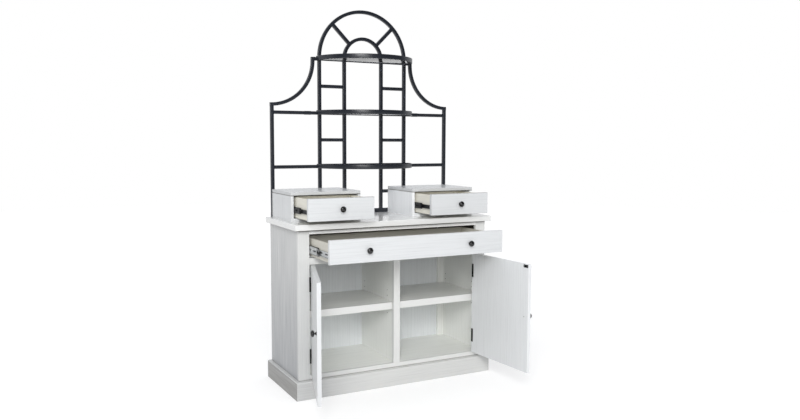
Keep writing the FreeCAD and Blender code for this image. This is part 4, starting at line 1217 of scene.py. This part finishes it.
class RACK_OT_fittings(Operator):
    """Add shelf pins and their rows of holes, catches, and the screws of the back and hutch"""
    bl_idname = "rack.fittings"
    bl_label = "Small Fittings"

    def execute(self, context):
        dress_node("door_catches", "white_plastic", CATCH_EASE)
        pins = solid_boxes("shelf_pins")
        add_piece("round_shelf_pins", joined([self.pin(box) for box in pins]), "zinc",
                  stands_for=["shelf_pins"])
        self.pin_holes(pins, context.scene.rack_hardware.hole)
        self.back_screws()
        self.rim_bolts(context.scene.rack_steel.bar)
        return {"FINISHED"}

    def pin(self, box):
        """A round steel pin with domed ends."""
        low, high = box
        length = high[0] - low[0]
        radius = (high[2] - low[2]) / 2 * 0.97
        dome = PIN_EASE * circle(np.linspace(0, math.pi / 2, 5))
        end = dome + (radius - PIN_EASE, length - PIN_EASE)
        start = np.maximum(end[::-1] * (1, -1) + (0, length), 0)
        profile = np.vstack(((0, 0), start, end, (0, length)))
        return turned(profile, 20).aimed((1, 0, 0)).moved((low[0], *middle_of(box)[1:]))

    def pin_holes(self, pins, radius):
        """Rows of spare pin holes, in both faces of each cupboard.

        Each hole is a thin dark disc: painted shade.
        """
        depths = sorted({round(float(middle_of(box)[1]), 4) for box in pins})
        row = float(middle_of(pins[0])[2])
        disc = turned([(0, 0), (radius, 0), (radius, HOLE_DEPTH), (0, HOLE_DEPTH)], 20)
        faces = ((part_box("side_panel_right")[0][0], -1), (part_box("partition")[1][0], 1))
        form = joined([disc.aimed((way, 0, 0)).moved((x, depth, row + rise * MM))
                       for rise in HOLE_RISES for depth in depths for x, way in faces])
        add_piece("pin_holes", form + form.mirrored(), "hole")

    def back_screws(self):
        """Countersunk screws round the edge of the back panel."""
        low, high = box_of("back_panel")
        screw = screw_form("back panel", DEEP)
        across = np.linspace(low[0] + BACK_EDGE, high[0] - BACK_EDGE, 7)
        up = np.linspace(low[2] + BACK_EDGE, high[2] - BACK_EDGE, 5)
        places = [(x, z) for x in across for z in (up[0], up[-1])]
        places += [(x, z) for x in (across[0], 0.0, across[-1]) for z in up[1:-1]]
        form = joined([screw.moved((x, high[1] - 0.1 * MM, z)) for x, z in places])
        add_piece("back_panel_screws", form, "zinc")

    def rim_bolts(self, bar):
        """Domed bolts through the shelf rims' rear bars into the hutch posts."""
        low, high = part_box("hutch_base_rail")
        posts = [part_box(node)[1][0] - (high[1] - low[1]) / 2
                 for node in ("hutch_outer_arch", "hutch_inner_arch")]
        bolt = screw_form("rim bolt", -DEEP)
        tops = [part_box("shelf_rim_" + level)[1] for level in LEVELS]
        form = joined([bolt.moved((side * post, top[1] - bar, top[2] - BOLT_DROP))
                       for top in tops for post in posts for side in (-1, 1)])
        add_piece("rim_bolts", form, "black")


# ------------------------------------------------------------------ stage, light and camera
FLOOR = 12.0                         # radius of the floor
FLOOR_SIDES = 64
AIM = (0, -0.2, 0.7)                 # where the lamps point
LAMPS = (                            # name, place, size, watts
    ("high key", (-3.1, -5.4, 3.9), 2.0, 165),
    ("low key", (-2.2, -5.6, 2.4), 2.0, 94),
    ("top", (0.0, -0.6, 4.6), 3.0, 12),
)
ROOM_LIGHT = 0.68                    # strength of the even light
ROOM_TINT = (0.97, 0.98, 1.0)
GLOSS = (0.14, 0.9)                  # what gloss sees in front of the rack and behind it
GLOSS_TURN = 0.15                    # the y of a direction within which that changes
FLOOR_GLOW = (0.49, 0.15)            # the floor's white, and how much more it has far away
FLOOR_FADE = (1.2, 5.0)              # distances between which it grows
LENS, SENSOR = 34.21, 36             # millimetres
CAMERA_PLACE = (-1.88398, -3.83193, 1.33336)
CAMERA_TURN = (90 - 5.22, -0.196, -27.67)
WHITE = (1, 1, 1)


class RACK_OT_stage(Operator):
    """Lay the floor, hang the lights and set the camera"""
    bl_idname = "rack.stage"
    bl_label = "Stage"

    def execute(self, context):
        self.floor()
        self.world(context.scene)
        for name, place, size, watts in LAMPS:
            self.lamp(name, place, size, watts)
        self.camera(context.scene)
        context.scene.view_settings.view_transform = "Standard"
        return {"FINISHED"}

    def floor(self):
        """A round pale floor that the camera and gloss see as white."""
        finish = Finish("pale_floor")
        away = finish.add("ShaderNodeVectorMath", {"operation": "LENGTH"}, finish.place(),
                          output=1)
        white = FLOOR_GLOW[0] + finish.ramp(away, *FLOOR_FADE) * FLOOR_GLOW[1]
        seen = (finish.ray("Camera") + finish.ray("Glossy")) * white
        material = finish.close(Base_Color=(0.60, 0.60, 0.60), Roughness=0.9,
                                Specular_IOR_Level=0.0, Emission_Strength=1.0,
                                Emission_Color=finish.blend(seen, (0, 0, 0), WHITE))
        rim = FLOOR * circle(np.linspace(0, 2 * math.pi, FLOOR_SIDES, endpoint=False))
        mesh = bpy.data.meshes.new("floor")
        mesh.from_pydata(np.insert(rim, 2, 0, axis=1).tolist(), [], [list(range(FLOOR_SIDES))])
        mesh.materials.append(material)
        placed("floor", mesh)

    def world(self, scene):
        """Even light from all round; the camera and glass see plain white.

        Gloss sees a white backdrop behind the rack and a darker room in front of it: its strength
        rises with the y of the direction.
        """
        scene.world = bpy.data.worlds.new("studio")
        scene.world.use_nodes = True
        sky = Shader(scene.world.node_tree, "ShaderNodeOutputWorld")
        level = sky.ramp(sky.along("y", "Generated"), -GLOSS_TURN, GLOSS_TURN, *GLOSS)
        strength = sky.add("ShaderNodeMix", {}, sky.ray("Glossy"), None, ROOM_LIGHT, level)
        lit = sky.add("ShaderNodeBackground", {}, Color=ROOM_TINT, Strength=strength)
        white = sky.add("ShaderNodeBackground", {}, Color=WHITE, Strength=1.0)
        seen = sky.ray("Camera").most(sky.ray("Transmission"))
        sky.end(sky.add("ShaderNodeMixShader", {}, seen, lit, white))

    def lamp(self, name, place, size, watts):
        """A soft square lamp that faces the rack."""
        data = bpy.data.lights.new(name, "AREA")
        data.energy = watts
        data.size = size
        lamp = placed(name, data)
        x, y, z = np.array(AIM) - place
        lamp.location = place
        lamp.rotation_euler = (math.pi / 2 + math.atan2(z, math.hypot(x, y)), 0,
                               math.atan2(y, x) - math.pi / 2)

    def camera(self, scene):
        data = bpy.data.cameras.new("camera")
        data.lens = LENS
        data.sensor_width = SENSOR
        data.sensor_fit = "HORIZONTAL"
        scene.camera = placed("camera", data)
        scene.camera.location = CAMERA_PLACE
        scene.camera.rotation_euler = [math.radians(angle) for angle in CAMERA_TURN]


# ------------------------------------------------------------------ panel and start
PIECES = (RACK_OT_boards, RACK_OT_hutch, RACK_OT_shelves, RACK_OT_drawers, RACK_OT_doors,
          RACK_OT_fittings, RACK_OT_stage)
GROUPS = (("rack_boards", BoardLooks), ("rack_steel", SteelLooks),
          ("rack_hardware", HardwareLooks))


class RACK_PT_panel(Panel):
    """Lists the operators and settings of the rack"""
    bl_label = "Bakers Rack"
    bl_idname = "RACK_PT_panel"
    bl_space_type = "VIEW_3D"
    bl_region_type = "UI"
    bl_category = "Bakers Rack"

    def draw(self, context):
        for operator in PIECES:
            self.layout.operator(operator.bl_idname)
        for name, group in GROUPS:
            settings = getattr(context.scene, name)
            for key in group.__annotations__:
                self.layout.prop(settings, key)


def register():
    for group in GROUPS:
        bpy.utils.register_class(group[1])
        setattr(bpy.types.Scene, group[0], PointerProperty(type=group[1]))
    for operator in PIECES + (RACK_PT_panel,):
        bpy.utils.register_class(operator)


def unregister():
    for operator in (RACK_PT_panel,) + PIECES[::-1]:
        bpy.utils.unregister_class(operator)
    for group in GROUPS:
        delattr(bpy.types.Scene, group[0])
        bpy.utils.unregister_class(group[1])


def main():
    register()
    scene = bpy.context.scene
    make_finishes(scene.rack_boards, scene.rack_steel, scene.rack_hardware)
    for operator in PIECES:
        group, name = operator.bl_idname.split(".")
        getattr(getattr(bpy.ops, group), name)()


if __name__ == "__main__":
    main()
